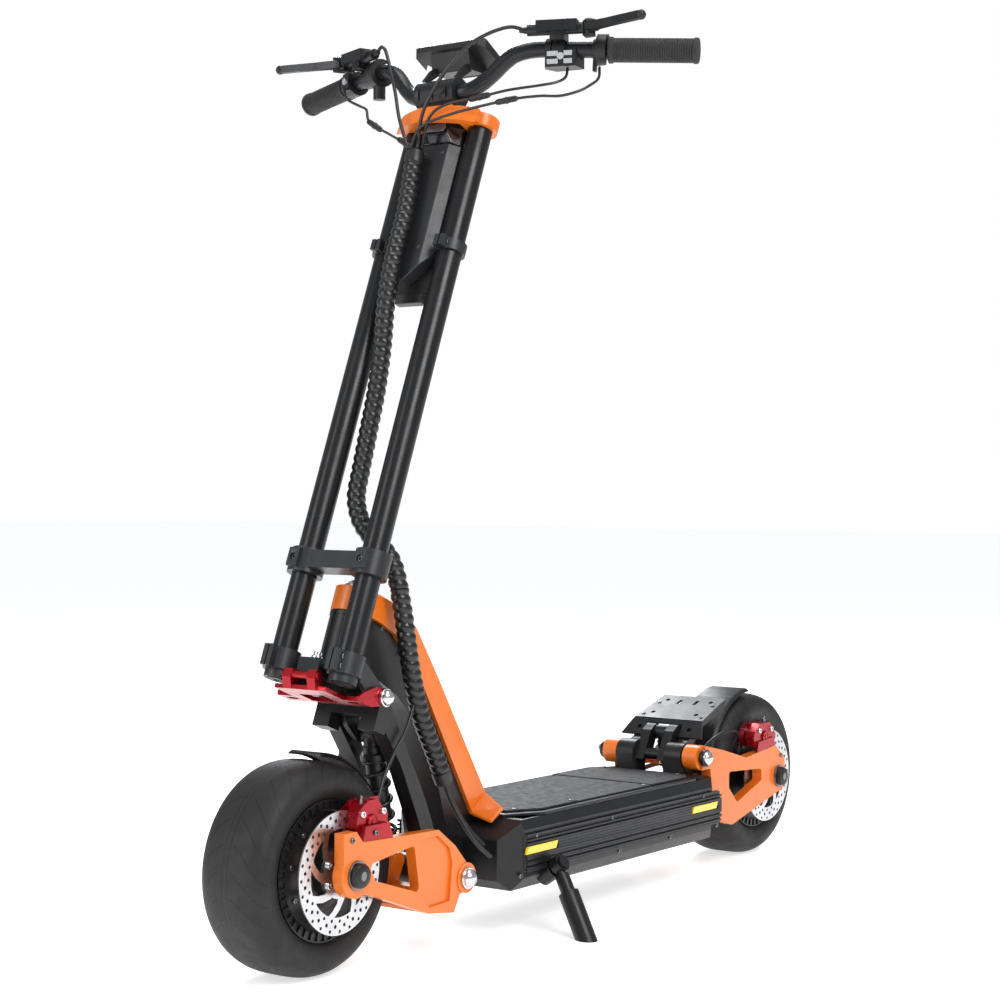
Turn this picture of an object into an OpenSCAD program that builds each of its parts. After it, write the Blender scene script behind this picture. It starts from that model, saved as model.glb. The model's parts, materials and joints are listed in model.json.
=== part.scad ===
// Electric kick scooter with twin stem tubes, swingarm suspension at both ends and hub motors.
// Millimetres. +X forward, +Y left, +Z up, origin on the floor under the middle.

/* [Wheels] */
// Distance between the two axles
wheelbase = 1157.6; // [1150:0.2:1165]
// Outer radius of a tyre, and height of the axles
tyre_r = 140; // [138:0.5:141]
// Radius of the bead seat on the hub motor
bead_r = 92; // [90:0.5:93]
// Radius of a brake disc
disc_r = 80; // [76:0.5:80]

/* [Stem] */
// Backward lean of the stem and the steering axis
stem_rake = 21.33; // [20.8:0.01:21.8]
// Half the distance between the two stem tubes
tube_y = 55.7; // [55.5:0.1:56]
// Radius of a stem tube
tube_r = 17.5; // [17:0.1:17.6]
// Height of the stem tubes' tops along the tubes
tube_top = 1240; // [1236:1:1242]

/* [Deck] */
// Length of the deck tray
deck_l = 585; // [580:1:585]
// Half the width of the deck tray
deck_y = 112; // [110:0.5:112]
// Height of the tray's top rim
deck_z = 166; // [165:0.5:166]

/* [Cables] */
// Radius of the wrapped cable loom
loom_r = 12; // [10:0.5:13]
// Radius of the smooth hoses on the bar
hose_r = 2.6; // [2.2:0.1:3]

/* [Hidden] */
$fn = 64;
axle_x = wheelbase / 2;
axle_z = tyre_r;
stem_foot_x = 707.75;
head_x = -51;
fold_x = -73;
fold_z = 414;
pin_r = 8;
running = 0.06;
front_pivot = [345, 102];
rear_pivot = [-316.5, 198];
front_eye_top = [430, 300];
front_eye_low = [392, 124];
rear_eye_top = [-345, 232];
rear_eye_low = [-395, 100];
bar_mid = [280, 0, 1197];
grip_in = [202.8, 234, 1246.7];
grip_out = [157, 351, 1240];
stand_top = [163, 130, 96];
stand_axis = [0.053, 0.830, 0.556];
stand_dir = [0.18, 0.54, -0.823];

// Route of the wrapped loom, from the bar down to the neck
loom_route = [
    [314, -20, 1110], [333, -14, 1060], [349, -10, 1019], [375, -9, 955], [390, -10, 893], [393, -14, 830],
    [399, -19, 771], [412, -22, 715], [428, -22, 661], [440, -20, 625], [446, -10, 598], [448, 5, 578],
    [446, 22, 562], [441, 38, 545], [437, 46, 525], [434, 51, 500], [430, 55, 468], [425, 57, 435],
    [418, 57, 403], [405, 55, 365], [390, 53, 330], [373, 51, 302], [355, 50, 275], [340, 49, 250],
    [329, 48, 230]];
// Thin leads out of the loom's foot into the deck
lead_route_a = [[328, 45, 229], [316, 47, 205], [296, 52, 175], [272, 59, 148], [253.5, 64, 132]];
lead_route_b = [[330, 51, 229], [320, 54, 203], [302, 61, 170], [280, 70, 138], [254.5, 76, 116]];
// Front brake hose, from the caliper up behind the arch into the loom
front_hose_route = [[500, 64, 207], [490, 63, 226], [476, 60, 250], [452, 58, 280], [426, 58, 310], [404, 55, 345]];
// Front motor lead, on the right
motor_lead_route = [
    [562, -108, 152], [520, -112, 158], [470, -110, 172], [425, -100, 195], [395, -92, 235], [384, -88, 290],
    [384, -82, 340], [392, -66, 390], [402, -50, 425]];
// Rear brake hose and rear motor lead
rear_hose_route = [[-490.5, 64, 214], [-474, 66, 225], [-440, 62, 226], [-400, 56, 212], [-366, 50, 186], [-338.5, 46, 150]];
rear_lead_route = [[-560, -106, 146], [-520, -110, 152], [-460, -108, 150], [-400, -102, 142], [-350, -103, 132], [-339.8, -94, 129]];
// Hoses and leads at the bar
left_hose_route = [
    [262, 133, 1276], [272, 114, 1281], [290, 92, 1272], [301, 65, 1257], [309, 45, 1237], [313, 22, 1211],
    [316, 4, 1184], [318, -7, 1156], [318, -12, 1118]];
right_hose_route = [
    [262, -133, 1276], [273, -115, 1281], [289, -95, 1270], [301, -78, 1245], [310, -60, 1203],
    [316, -48, 1165], [318, -37, 1138], [317, -30, 1118]];
pod_lead_route = [
    [231.6, 184, 1222.6], [240, 186, 1208], [256, 180, 1199], [272, 160, 1194], [290, 124, 1189], [301, 83, 1182],
    [308, 30, 1176], [316, 6, 1158], [309, -12, 1118]];
throttle_lead_route = [
    [218, 228, 1221], [230, 234, 1203], [248, 230, 1190], [263, 222, 1181], [276, 201, 1175], [287, 172, 1176],
    [303, 131, 1172], [318, 50, 1160], [326, 0, 1145], [325, -20, 1118]];
right_lead_route = [
    [230.4, -222.7, 1240], [250, -200, 1218], [274, -158, 1200], [292, -128, 1188], [300, -118, 1172],
    [304, -102, 1160], [306, -70, 1143], [308, -42, 1128], [308, -25, 1116]];

// ---------- helpers ----------

// Frame of the raked stem: x forward and square to the tubes, z up along them
module in_stem() {
    translate([stem_foot_x, 0, 0]) rotate([0, -stem_rake, 0]) children();
}

// An outline in X and Z, made solid from y0 to y1
module slab(y0, y1) {
    translate([0, y1, 0]) rotate([90, 0, 0]) linear_extrude(y1 - y0) children();
}

// The same slab on both sides of the middle plane
module slabs(y0, y1) {
    slab(y0, y1) children();
    slab(-y1, -y0) children();
}

// An outline in Y and Z, made solid from x0 to x1
module along_x(x0, x1) {
    translate([x0, 0, 0]) rotate([90, 0, 90]) linear_extrude(x1 - x0) children();
}

// A round bar across the scooter, from y0 to y1
module cross_bar(p, r, y0, y1) {
    translate([p[0], y1, p[1]]) rotate([90, 0, 0]) cylinder(r = r, h = y1 - y0);
}

// Round bars on both sides
module cross_bars(p, r, y0, y1) {
    cross_bar(p, r, y0, y1);
    cross_bar(p, r, -y1, -y0);
}

// A box given by its low and high corners
module block(low, high) {
    translate(low) cube(high - low);
}

// Children standing on a, with their z towards b
module towards(a, b) {
    d = b - a;
    translate(a) rotate([0, acos(d[2] / norm(d)), atan2(d[1], d[0])]) children();
}

// A round rod from a to b
module rod(a, b, r) {
    towards(a, b) cylinder(r = r, h = norm(b - a));
}

// A point mirrored to the other side
function flip(p) = [p[0], -p[1], p[2]];
function in3(p) = [p[0], 0, p[1]];
function unit(v) = v / norm(v);

// Tangent of a route at point i
function tangent(p, i) = unit(p[min(i + 1, len(p) - 1)] - p[max(i - 1, 0)]);

// A tube swept along a route, with one radius for each end
module sweep(route, r0, r1, sides = 8) {
    last = len(route) - 1;
    rings = [for (i = [0:last])
        let (t = tangent(route, i), u = unit(cross(t, [0.31, 0.92, 0.24])), v = cross(t, u), r = r0 + (r1 - r0) * i / last)
        for (k = [0:sides - 1]) route[i] + r * (cos(360 * k / sides) * u + sin(360 * k / sides) * v)];
    caps = [[for (k = [0:sides - 1]) sides - 1 - k], [for (k = [0:sides - 1]) last * sides + k]];
    walls = [for (i = [0:last - 1], k = [0:sides - 1])
        let (a = i * sides + k, b = i * sides + (k + 1) % sides) each [[a, b, b + sides], [a, b + sides, a + sides]]];
    polyhedron(points = rings, faces = concat(caps, walls), convexity = 8);
}

// Points on an arc in two dimensions
function arc(c, r, a0, a1, n = 12) = [for (i = [0:n]) c + r * [cos(a0 + (a1 - a0) * i / n), sin(a0 + (a1 - a0) * i / n)]];

// ---------- deck ----------

module deck_section() {
    polygon([[-98, 66], [98, 66], [deck_y, 84], [deck_y, 152], [106, deck_z], [-106, deck_z], [-deck_y, 152], [-deck_y, 84]]);
}

module deck_side() {
    front = deck_l - 335;
    polygon([[-335, 72], [-329, 66], [front - 14, 66], [front, 80], [front, 138], [front - 28, deck_z], [-335, deck_z]]);
}

module deck_tray() {
    color("#26272a") difference() {
        intersection() {
            along_x(-335, deck_l - 335) deck_section();
            slab(-130, 130) deck_side();
            linear_extrude(200) polygon([
                [250, -84], [250, 84], [222, 112], [-310, 112], [-335, 96], [-335, -96], [-310, -112], [222, -112]]);
        }
        block([-290, -102, 71], [212, 102, 167]);
    }
}

module deck_plate() {
    color("#303136") difference() {
        translate([0, 0, deck_z]) linear_extrude(4.5) polygon([
            [220, -74], [220, 74], [160, 106], [-270, 106], [-326, 78], [-326, -78], [-270, -106], [160, -106]]);
        block([-340, -66, deck_z - 1], [-288, 66, deck_z + 6]);
    }
}

module foot_mat() {
    color("#3a3b3f") translate([0, 0, deck_z + 4.5]) {
        linear_extrude(3.5) polygon([[204, -66], [204, 66], [150, 95], [60, 95], [60, -95], [150, -95]]);
        linear_extrude(2.5) polygon([[57, -95], [57, 95], [-150, 95], [-150, -95]]);
        linear_extrude(3.5) polygon([[-153, -95], [-153, 95], [-258, 95], [-284, 80], [-284, -80], [-258, -95]]);
    }
}

module rail_outline() {
    polygon([[252, 98], [232, 92], [-325, 92], [-335, 98], [-335, 138], [-325, 146], [222, 146], [238, 140]]);
}

module side_rails() {
    color("#222326") difference() {
        slabs(deck_y, 118) rail_outline();
        for (z = [99, 107, 133, 139])
            for (s = [-1, 1])
                block([-340, s * 117 - 2, z], [260, s * 117 + 2, z + 3]);
        for (s = [-1, 1])
            for (x = [[145, 227], [-322, -239]])
                block([x[0], s * 117 - 2.5, 117.5], [x[1], s * 117 + 2.5, 129.5]);
        // front corners follow the tray
        for (s = [-1, 1])
            translate([252, s * 90, 80]) rotate([0, 0, s * 45]) translate([-4, -40, 0]) cube([60, 80, 80]);
    }
}

module side_reflectors() {
    color("#e6c21e") for (x = [[146, 226], [-321, -240]])
        slabs(114.5, 119) polygon([
            [x[0] + 5, 118], [x[1], 118], [x[1] - 5, 129], [x[0], 129]]);
}

module battery_pack() {
    color("#3d4f66") block([-280, -88, 72], [60, 88, 152]);
}

module motor_controllers() {
    color("#8d9096") for (x = [72, 142])
        difference() {
            block([x, -80, 72], [x + 62, 80, 118]);
            for (k = [0:6])
                block([x + 4 + 8.4 * k, -82, 106], [x + 7.5 + 8.4 * k, 82, 120]);
        }
}

module rear_frame() {
    color("#2a2b2e") {
        difference() {
            union() {
                slabs(30, 62) {
                    polygon([[-335, deck_z], [-294, deck_z], [-295, 200], [-338, 200]]);
                    translate(rear_pivot) circle(r = 22);
                }
                slabs(13, 30) {
                    polygon([[-330, 196], [-300, 190], [-326, 236], [-340, 244], [-352, 240]]);
                    translate(rear_eye_top) circle(r = 13);
                }
                slabs(36, 54) polygon([
                    [-338, 196], [-308, 214], [-330, 220], [-341, 225], [-361, 247.5], [-404, 262], [-396, 252], [-352, 214]]);
            }
            cross_bar(rear_pivot, 10, -70, 70);
            cross_bar(rear_eye_top, 5, -30.5, 30.5);
        }
        cross_bar(rear_pivot, 10, -94.3, 94.3);
        cross_bars(rear_pivot, 14, 94.3, 100);
        cross_bars(rear_pivot, 9, 100, 102);
        cross_bar(rear_eye_top, 5, -30.5, 30.5);
    }
}

// One tapered panel of the kick plate, lying in its own plane
module kick_panel(w0, w1, l) {
    linear_extrude(4) polygon([[0, -w0], [0, w0], [l, w1], [l, -w1]]);
}

module kick_plate() {
    slope = atan2(30, 89);
    drop = atan2(26.5, 23);
    color("#2d2e33") {
        translate([-361, 0, 249]) rotate([0, slope, 0]) difference() {
            mirror([1, 0, 0]) kick_panel(66, 60, 94);
            for (y = [-42, 42])
                for (x = [-74, -22])
                    translate([x, y, -1]) cylinder(r = 4, h = 6);
            for (y = [-16, 16])
                translate([-76, y - 3, -1]) cube([16, 6, 6]);
        }
        translate([-361, 0, 249]) rotate([0, drop, 0]) difference() {
            translate([0.01, 0, 0]) kick_panel(66, 78, 33);
            for (y = [-48, 48])
                translate([18, y, -1]) cylinder(r = 4, h = 6);
            translate([8, -32, -1]) cube([30, 64, 8]);
        }
        // turned-down side flanges
        for (s = [-1, 1])
            slab(s > 0 ? 58 : -61, s > 0 ? 61 : -58)
                polygon([[-446, 277], [-361, 249], [-361, 239], [-430, 262]]);
    }
}

module kickstand_bracket() {
    base = stand_top - 34 * stand_axis;
    color("#2a2b2e") difference() {
        union() {
            rod(base, stand_top - 8 * stand_axis, 15);
            rod(base, stand_top + 13 * stand_axis, 6);
            rod(stand_top + 10.3 * stand_axis, stand_top + 14 * stand_axis, 9);
        }
        along_x(100, 240) polygon([
            [0, 60], [98, 66], [112.05, 84], [112.05, 91.8], [118.2, 91.8], [118.2, 150], [0, 160]]);
    }
}

module kickstand() {
    foot = stand_top + 116.6 * stand_dir;
    color("#1d1e20") difference() {
        union() {
            rod(stand_top - 5.2 * stand_axis, stand_top + 10 * stand_axis, 13);
            rod(stand_top + 4 * stand_dir, stand_top + 20 * stand_dir, 7.5);
            rod(stand_top + 16 * stand_dir, stand_top + 70 * stand_dir, 10.5);
            intersection() {
                rod(stand_top + 44 * stand_dir, foot + 12 * stand_dir, 15);
                block([100, 60, 0], [300, 300, 90]);
            }
        }
        rod(stand_top - 20 * stand_axis, stand_top + 20 * stand_axis, 6 + running);
        for (u = [58, 70])
            translate(stand_top + u * stand_dir + [10, -6, 4]) sphere(r = 3.5, $fn = 24);
    }
}

// ---------- neck ----------

strip_outline = [
    [471.8, 464], [459.5, 495.6], [425, 482], [371, 445], [317, 368], [205, 196], [236, 169], [359, 371],
    [416, 437], [449.5, 455.4]];

module neck_sides() {
    color("#f07f1f") {
        in_stem() translate([head_x, 0, 518]) difference() {
            cylinder(r = 30.5, h = 34);
            translate([0, 0, -1]) cylinder(r = 24.06, h = 36);
        }
        difference() {
            slabs(24.5, 31) polygon(strip_outline);
            in_stem() translate([head_x, 0, 440]) cylinder(r = 30.05, h = 77.9);
        }
        // feet bent out over the deck's front corners
        for (s = [-1, 1])
            hull() {
                for (p = [[206, 28, 195], [236, 28, 171], [221, 70, 178], [237, 64, 163]])
                    translate([p[0], s * p[1], p[2]]) sphere(r = 3.2, $fn = 12);
            }
    }
}

module neck_core() {
    color("#232427") difference() {
        union() {
            slab(-24.5, 24.5) polygon([
                [484.6, 393.5], [471.8, 384.5], [442, 374], [404, 352], [368, 318], [338, 270], [308, 212],
                [292, 160], [286, 110], [274, 68], [250.2, 68], [250.2, 138.2], [222.2, 166.5], [222.2, 170.7], [205, 170.7],
                [205, 174.2], [201, 176], [212, 199], [321, 366], [374, 441], [424, 472], [441.5, 452.2], [459.9, 456.1]]);
            in_stem() translate([head_x, 0, 0]) {
                translate([0, 0, 444]) cylinder(r = 29, h = 74);
                translate([0, 0, 517]) cylinder(r = 24, h = 36);
                for (z = [446, 512])
                    translate([0, 0, z]) cylinder(r = 30, h = 4);
            }
        }
        in_stem() translate([head_x, 0, 0]) {
            translate([0, 0, 440]) cylinder(r = 17, h = 120);
            translate([0, 0, 440]) cylinder(r = 21, h = 18);
            translate([0, 0, 541]) cylinder(r = 21, h = 18);
        }
    }
}

module headset_bearings() {
    color("#b9bcc2") in_stem() for (z = [446, 541])
        translate([head_x, 0, z]) difference() {
            cylinder(r = 21, h = 11.5);
            translate([0, 0, -1]) cylinder(r = 14 + running, h = 14);
        }
}

// ---------- fork ----------

module steerer() {
    color("#8f9299") in_stem() translate([head_x, 0, 0]) {
        translate([0, 0, 440]) cylinder(r = 14, h = 118);
        translate([0, 0, 553.5]) cylinder(r = 20, h = 4);
        translate([0, 0, 557.5]) cylinder(r = 16, h = 6, $fn = 6);
    }
}

module fork_crown() {
    color("#2b2c30") in_stem() difference() {
        union() {
            block([-88, -44, 402], [-26, 44, 440]);
            block([-27, -18, 418], [10, 18, 440]);
            translate([head_x, 0, 440]) cylinder(r = 26, h = 1.5);
        }
        translate([fold_x, 60, fold_z]) rotate([90, 0, 0]) cylinder(r = pin_r, h = 120);
        translate([head_x, 0, 439.9]) cylinder(r = 14, h = 6);
        translate([-4, 0, 430]) cylinder(r = 4 + running, h = 20);
    }
}

leg_outline = [
    [484, 338], [478, 331], [461, 308], [444, 284], [430, 264], [420, 246], [412, 229], [401, 207], [388, 180],
    [378, 155], [372, 135], [369, 118], [366, 92], [327, 92], [325, 104], [332, 118], [344, 140], [358, 175],
    [372, 205], [388, 235], [404, 262], [420, 290], [436, 318], [450, 343]];

module fork_arch() {
    color("#1f2022") difference() {
        union() {
            slabs(27, 51) polygon(leg_outline);
            cross_bar(front_pivot, 23, -78, 78);
            in_stem() {
                block([-112, -54, 392], [-88, 54, 430]);
                for (s = [-1, 1])
                    block([-112, s * 40 - 14, 372], [-88, s * 40 + 14, 395]);
                slabs(13, 21) {
                    polygon([[-100, 408], [-98, 396], [-113, 381], [-140, 368], [-158, 372], [-162, 388]]);
                    translate([-149.6, 380.5]) circle(r = 12);
                }
            }
        }
        in_stem() block([-88, -70, 391], [20, 70, 470]);
        cross_bar(front_pivot, 12, -90, 90);
        cross_bar(front_eye_top, 5, -22, 22);
    }
}

module fork_pins() {
    color("#c9cbd0") {
        cross_bar(front_pivot, 12, -102.3, 102.3);
        cross_bars(front_pivot, 15, 102.3, 106);
        cross_bars(front_pivot, 10, 106, 108);
        cross_bar(front_eye_top, 5, -21, 21);
        in_stem() {
            cross_bar([fold_x, fold_z], pin_r, -71.3, 71.3);
            cross_bars([fold_x, fold_z], 12.5, 71.3, 76);
            cross_bars([fold_x, fold_z], 8.5, 76, 79);
        }
    }
}

module latch_lever() {
    color("#c01822") in_stem() difference() {
        union() {
            slabs(66.5, 71) {
                polygon([[-73, 402], [-50, 394], [-24, 394], [-22, 400], [-30, 408], [-52, 422], [-73, 426]]);
                translate([fold_x, fold_z]) circle(r = 12);
            }
            difference() {
                union() {
                    block([-50, -71, 394], [-24, 71, 400]);
                    block([-50, -44, 394], [15, 44, 400]);
                }
                block([-42, -22, 390], [-10, 22, 402]);
                for (s = [-1, 1])
                    block([-40, s * 52 - 9, 390], [-31, s * 52 + 9, 402]);
            }
            slabs(14, 28) polygon([[-1, 399], [15, 394], [23, 408], [22, 420], [13, 422]]);
            cross_bar([17, 413], 5, -31, 31);
        }
        cross_bar([fold_x, fold_z], pin_r + running, -90, 90);
    }
}

module safety_pin() {
    color("#c4c6cb") in_stem() translate([-4, 0, 431]) {
        cylinder(r = 4, h = 10);
        translate([0, 0, 9.3]) cylinder(r = 8, h = 5);
        translate([0, 0, 14]) cylinder(r = 6, h = 6);
    }
}

// ---------- stem ----------

module stem_tubes() {
    color("#1b1c1e") in_stem() for (s = [-1, 1])
        translate([0, s * tube_y, 409]) difference() {
            cylinder(r = tube_r, h = tube_top - 409);
            translate([0, 0, 6]) cylinder(r = tube_r - 2.5, h = tube_top - 420);
        }
}

// A clamp ring round a tube, with its pinch lug towards +x
module tube_ring(r, h) {
    difference() {
        union() {
            cylinder(r = r, h = h);
            translate([12, -8, 0]) cube([r - 3, 16, h]);
        }
        translate([0, 0, -1]) cylinder(r = tube_r, h = h + 2);
        translate([tube_r - 2, -1, -1]) cube([r, 2, h + 2]);
    }
}

module stem_clamps() {
    color("#2c2d31") in_stem() {
        for (s = [-1, 1])
            translate([0, s * tube_y, 0]) {
                translate([0, 0, 420]) tube_ring(23.5, 29);
                translate([0, 0, 409]) difference() {
                    cylinder(r = 19.5, h = 11);
                    translate([0, 0, -1]) cylinder(r = tube_r, h = 13);
                }
            }
        difference() {
            for (s = [-1, 1])
                translate([0, s * tube_y, 1033]) tube_ring(21.8, 16);
            block([-26, -36.1, 1030], [40, 36.1, 1060]);
        }
        // hinge cheeks back to the fold pin
        difference() {
            slabs(56, 66) {
                polygon([[-80, 405], [-66, 402.5], [-20, 421], [-14, 421], [-14, 448], [-24, 448], [-82, 422]]);
                translate([fold_x, fold_z]) circle(r = 13);
            }
            for (s = [-1, 1])
                translate([0, s * tube_y, 400]) cylinder(r = tube_r, h = 60);
            cross_bar([fold_x, fold_z], pin_r + running, -80, 80);
        }
        // upper clamp bar that joins the tubes
        difference() {
            union() {
                for (s = [-1, 1])
                    translate([0, s * tube_y, 556]) cylinder(r = 25, h = 34);
                block([-12, -44, 562], [18, 44, 587]);
                for (s = [-1, 1])
                    translate([14, s * (tube_y + 2) - 9, 560]) cube([16, 18, 26]);
            }
            for (s = [-1, 1])
                translate([0, s * tube_y, 550]) cylinder(r = tube_r, h = 50);
            for (s = [-1, 1])
                translate([30, s * (tube_y + 2), 573]) rotate([0, -90, 0]) cylinder(r = 5, h = 8);
        }
    }
}

module stem_crown() {
    front = [for (a = [-58:9.667:58]) [-8 + 58 * cos(a), 92 * sin(a)]];
    inner = [for (a = [50:-10:-50]) [-8 + 46 * cos(a), 76 * sin(a)]];
    color("#f07f1f") in_stem() difference() {
        union() {
            translate([0, 0, 1227]) linear_extrude(18) union() {
                for (s = [-1, 1])
                    translate([0, s * tube_y]) circle(r = 24.5);
                polygon(concat(front, [[-20, 60], [-20, -60]]));
            }
            block([14, -30, 1240], [44, 30, 1249.4]);
            translate([0, 0, 1223]) linear_extrude(5) difference() {
                polygon(concat(front, inner));
                translate([-40, -40]) square([60, 80]);
            }
        }
        for (s = [-1, 1])
            translate([0, s * tube_y, 1200]) cylinder(r = tube_r, h = tube_top - 1200);
        translate([0, 0, 1215]) linear_extrude(24) polygon([[-30, -36], [-30, 36], [24, 36], [36, 26], [41, 0], [36, -26], [24, -36]]);
    }
}

module control_box() {
    color("#1e1f22") in_stem() difference() {
        union() {
            translate([0, 0, 975]) linear_extrude(262) polygon([
                [-25, -28], [-19, -36], [0, -36], [0, 36], [-19, 36], [-25, 28]]);
            slab(-24, 24) polygon([[-21, 976], [-15, 962], [-3, 962], [-0.5, 976]]);
        }
        for (z = [1010:24:1200])
            block([-27, -18, z], [-23, 18, z + 6]);
    }
}

module box_section(grow) {
    polygon([[0.2, -36], [0.2, 36], [8, 36], [22 + grow, 22], [22 + grow, -22], [8, -36]]);
}

module box_cover() {
    color("#4a4c52") in_stem() intersection() {
        translate([0, 0, 985]) linear_extrude(215) box_section(0);
        translate([-5, 0, 0]) rotate([90, 0, 90]) linear_extrude(40) polygon([
            [-36, 1200], [36, 1200], [36, 1030], [22, 1006], [0, 985], [-22, 1006], [-36, 1030]]);
    }
}

module headlight() {
    color("#101114") in_stem() intersection() {
        translate([0, 0, 1200]) linear_extrude(37) box_section(8);
        slab(-40, 40) polygon([[0, 1200], [23, 1200], [35, 1218], [27, 1237], [0, 1237]]);
    }
}

// ---------- handlebar ----------

bar_half = [
    [280, 38, 1197], [277, 50, 1199], [271, 64, 1207], [264, 80, 1221], [258, 95, 1236], [252, 112, 1247],
    [240, 140, 1252], [221, 188, 1249.5], [202.8, 234, 1246.7], [157.5, 350, 1240]];
bar_route = concat([for (i = [len(bar_half) - 1:-1:0]) flip(bar_half[i])], [[280, 0, 1197]], bar_half);

module handlebar() {
    color("#1c1d20") sweep(bar_route, 11.5, 11.5, 12);
}

module bar_clamp() {
    color("#24252a") {
        difference() {
            union() {
                cross_bar([bar_mid[0], bar_mid[2]], 21, -34, 34);
                in_stem() block([14, -30, 1249.5], [46, 30, 1272]);
            }
            cross_bar([bar_mid[0], bar_mid[2]], 11.6, -40, 40);
            for (y = [-24, 0, 24])
                block([298, y - 1.5, 1170], [310, y + 1.5, 1230]);
        }
    }
}

module grips() {
    color("#1a1a1c") for (s = [-1, 1]) {
        a = s > 0 ? grip_in : flip(grip_in);
        b = s > 0 ? grip_out : flip(grip_out);
        towards(a, b) difference() {
            union() {
                translate([0, 0, 6]) cylinder(r = 16.5, h = norm(b - a) - 8);
                cylinder(r = 18.5, h = 6);
                translate([0, 0, norm(b - a) - 6]) cylinder(r = 18, h = 6);
            }
            translate([0, 0, -2]) cylinder(r = 11.9, h = norm(b - a));
        }
    }
}

module display() {
    color("#17181b") {
        difference() {
            slab(-63, 63) polygon([[265, 1273], [261, 1275], [204, 1243], [205, 1237], [210, 1234], [267, 1265]]);
            for (s = [-1, 1]) {
                translate([265, s * 63, 1200]) rotate([0, 0, s * 45]) translate([-5, -20, 0]) cube([40, 40, 100]);
                translate([205, s * 63, 1200]) rotate([0, 0, s * 45]) translate([-20, -6, 0]) cube([40, 40, 100]);
            }
        }
        slab(-34, 34) polygon([[262, 1262.1], [214, 1236.2], [224, 1233], [256, 1234]]);
        slabs(26, 31) polygon([[286, 1218.5], [274, 1218.5], [248, 1234], [256, 1243], [268, 1236]]);
    }
}

// A brake master cylinder on the left side
module master_left() {
    a = [262, 137, 1275];
    b = [233.5, 210, 1275];
    union() {
        rod(a, b, 8);
        translate([0, 0, 1270]) linear_extrude(15) polygon([[254, 150], [272, 157], [251, 211], [233, 204]]);
        difference() {
            union() {
                towards([236, 150, 1251.5], [217, 198, 1249]) translate([0, 0, 12]) cylinder(r = 16, h = 18);
                translate([0, 0, 1259]) linear_extrude(12) polygon([[229, 160], [258, 171], [250, 190], [222, 179]]);
            }
            towards([240, 140, 1252], [202.8, 234, 1246.7]) cylinder(r = 11.9, h = 90);
        }
        // lever fork and its pin
        difference() {
            translate([0, 0, 1263]) linear_extrude(20) polygon([[222, 208], [240, 214], [251, 227], [240, 235], [222, 224]]);
            translate([0, 0, 1266.5]) linear_extrude(13) polygon([[216, 216], [240, 215], [262, 219], [262, 245], [216, 245]]);
        }
        translate([241, 225, 1263]) cylinder(r = 3, h = 21);
    }
}

module brake_masters() {
    color("#1d1e21") {
        master_left();
        mirror([0, 1, 0]) master_left();
    }
}

module lever_left() {
    difference() {
        union() {
            translate([0, 0, 1267.5]) linear_extrude(11) polygon([
                [231, 221], [241, 216], [249, 223], [252, 238], [255, 262], [261, 290], [267, 320], [258, 322],
                [252, 292], [246, 264], [240, 242], [234, 236]]);
            translate([262, 322, 1273]) sphere(r = 7);
        }
        translate([241, 225, 1260]) cylinder(r = 3 + running, h = 30);
    }
}

module brake_lever_left() {
    color("#222326") lever_left();
}

module brake_lever_right() {
    color("#222326") mirror([0, 1, 0]) lever_left();
}

module switch_pods() {
    color("#1b1c1f") {
        // left pod under the bar
        difference() {
            union() {
                translate([0, 0, 1224]) linear_extrude(23) polygon([[213, 154], [236, 149], [250, 158], [235, 199], [206, 195]]);
                towards([235, 152, 1251.3], [221, 188, 1249.2]) cylinder(r = 15.5, h = 8);
            }
            towards([240, 140, 1252], [202.8, 234, 1246.7]) cylinder(r = 11.9, h = 90);
            towards([236, 150, 1251.5], [217, 198, 1249]) translate([0, 0, 11.8]) cylinder(r = 16.1, h = 18.4);
            translate([241.5, 179, 1238]) rotate([0, 90, 19]) cylinder(r = 5.3, h = 30, center = true);
        }
        // right pod beside the grip
        difference() {
            union() {
                towards([205.5, -227, 1247], [196, -251, 1246]) translate([0, 0, -22]) cylinder(r = 18, h = 26);
                translate([0, 0, 1236]) linear_extrude(26) polygon([[208, -206], [231, -213], [224, -230], [200, -226]]);
            }
            towards([240, -140, 1252], [202.8, -234, 1246.7]) cylinder(r = 11.9, h = 120);
            translate([222, -219, 1250]) rotate([0, 90, -19]) cylinder(r = 5.3, h = 40, center = true);
        }
    }
}

module thumb_housings() {
    color("#222327") {
        // round throttle housing on the left
        difference() {
            towards([208.6, 219.3, 1247.5], [202.8, 234, 1246.7]) translate([0, 0, 0]) cylinder(r = 22, h = 14);
            towards([240, 140, 1252], [202.8, 234, 1246.7]) cylinder(r = 11.9, h = 120);
            translate([186, 215, 1210]) cube([22, 40, 28]);
        }
        // round clamp housing on the right
        difference() {
            towards([239.6, -141, 1251.9], [221, -188, 1249.5]) cylinder(r = 21, h = 16);
            towards([240, -140, 1252], [202.8, -234, 1246.7]) cylinder(r = 11.9, h = 120);
        }
        translate([236.6, -148.5, 1213]) cylinder(r = 9, h = 19);
    }
}

// Thumb paddle of the throttle, turning on the bar next to its housing
module throttle_paddle() {
    color("#141416") towards([202.9, 233.8, 1246.7], [157, 351, 1240]) translate([0, 0, -21.2]) {
        difference() {
            union() {
                translate([0, 0, 0]) cylinder(r = 15, h = 5);
                translate([10, -5, 0]) cube([20, 10, 5]);
            }
            translate([0, 0, -1]) cylinder(r = 12.4, h = 7);
        }
    }
}

module horn_button() {
    color("#9fa2a8") translate([241.5, 179, 1238]) rotate([0, 90, 19]) {
        translate([0, 0, 1]) cylinder(r = 5, h = 3.5);
    }
}

module mode_button() {
    color("#9fa2a8") translate([222, -219, 1250]) rotate([0, 90, -19]) {
        translate([0, 0, 1]) cylinder(r = 5, h = 9);
    }
}

// ---------- cables ----------

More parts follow.
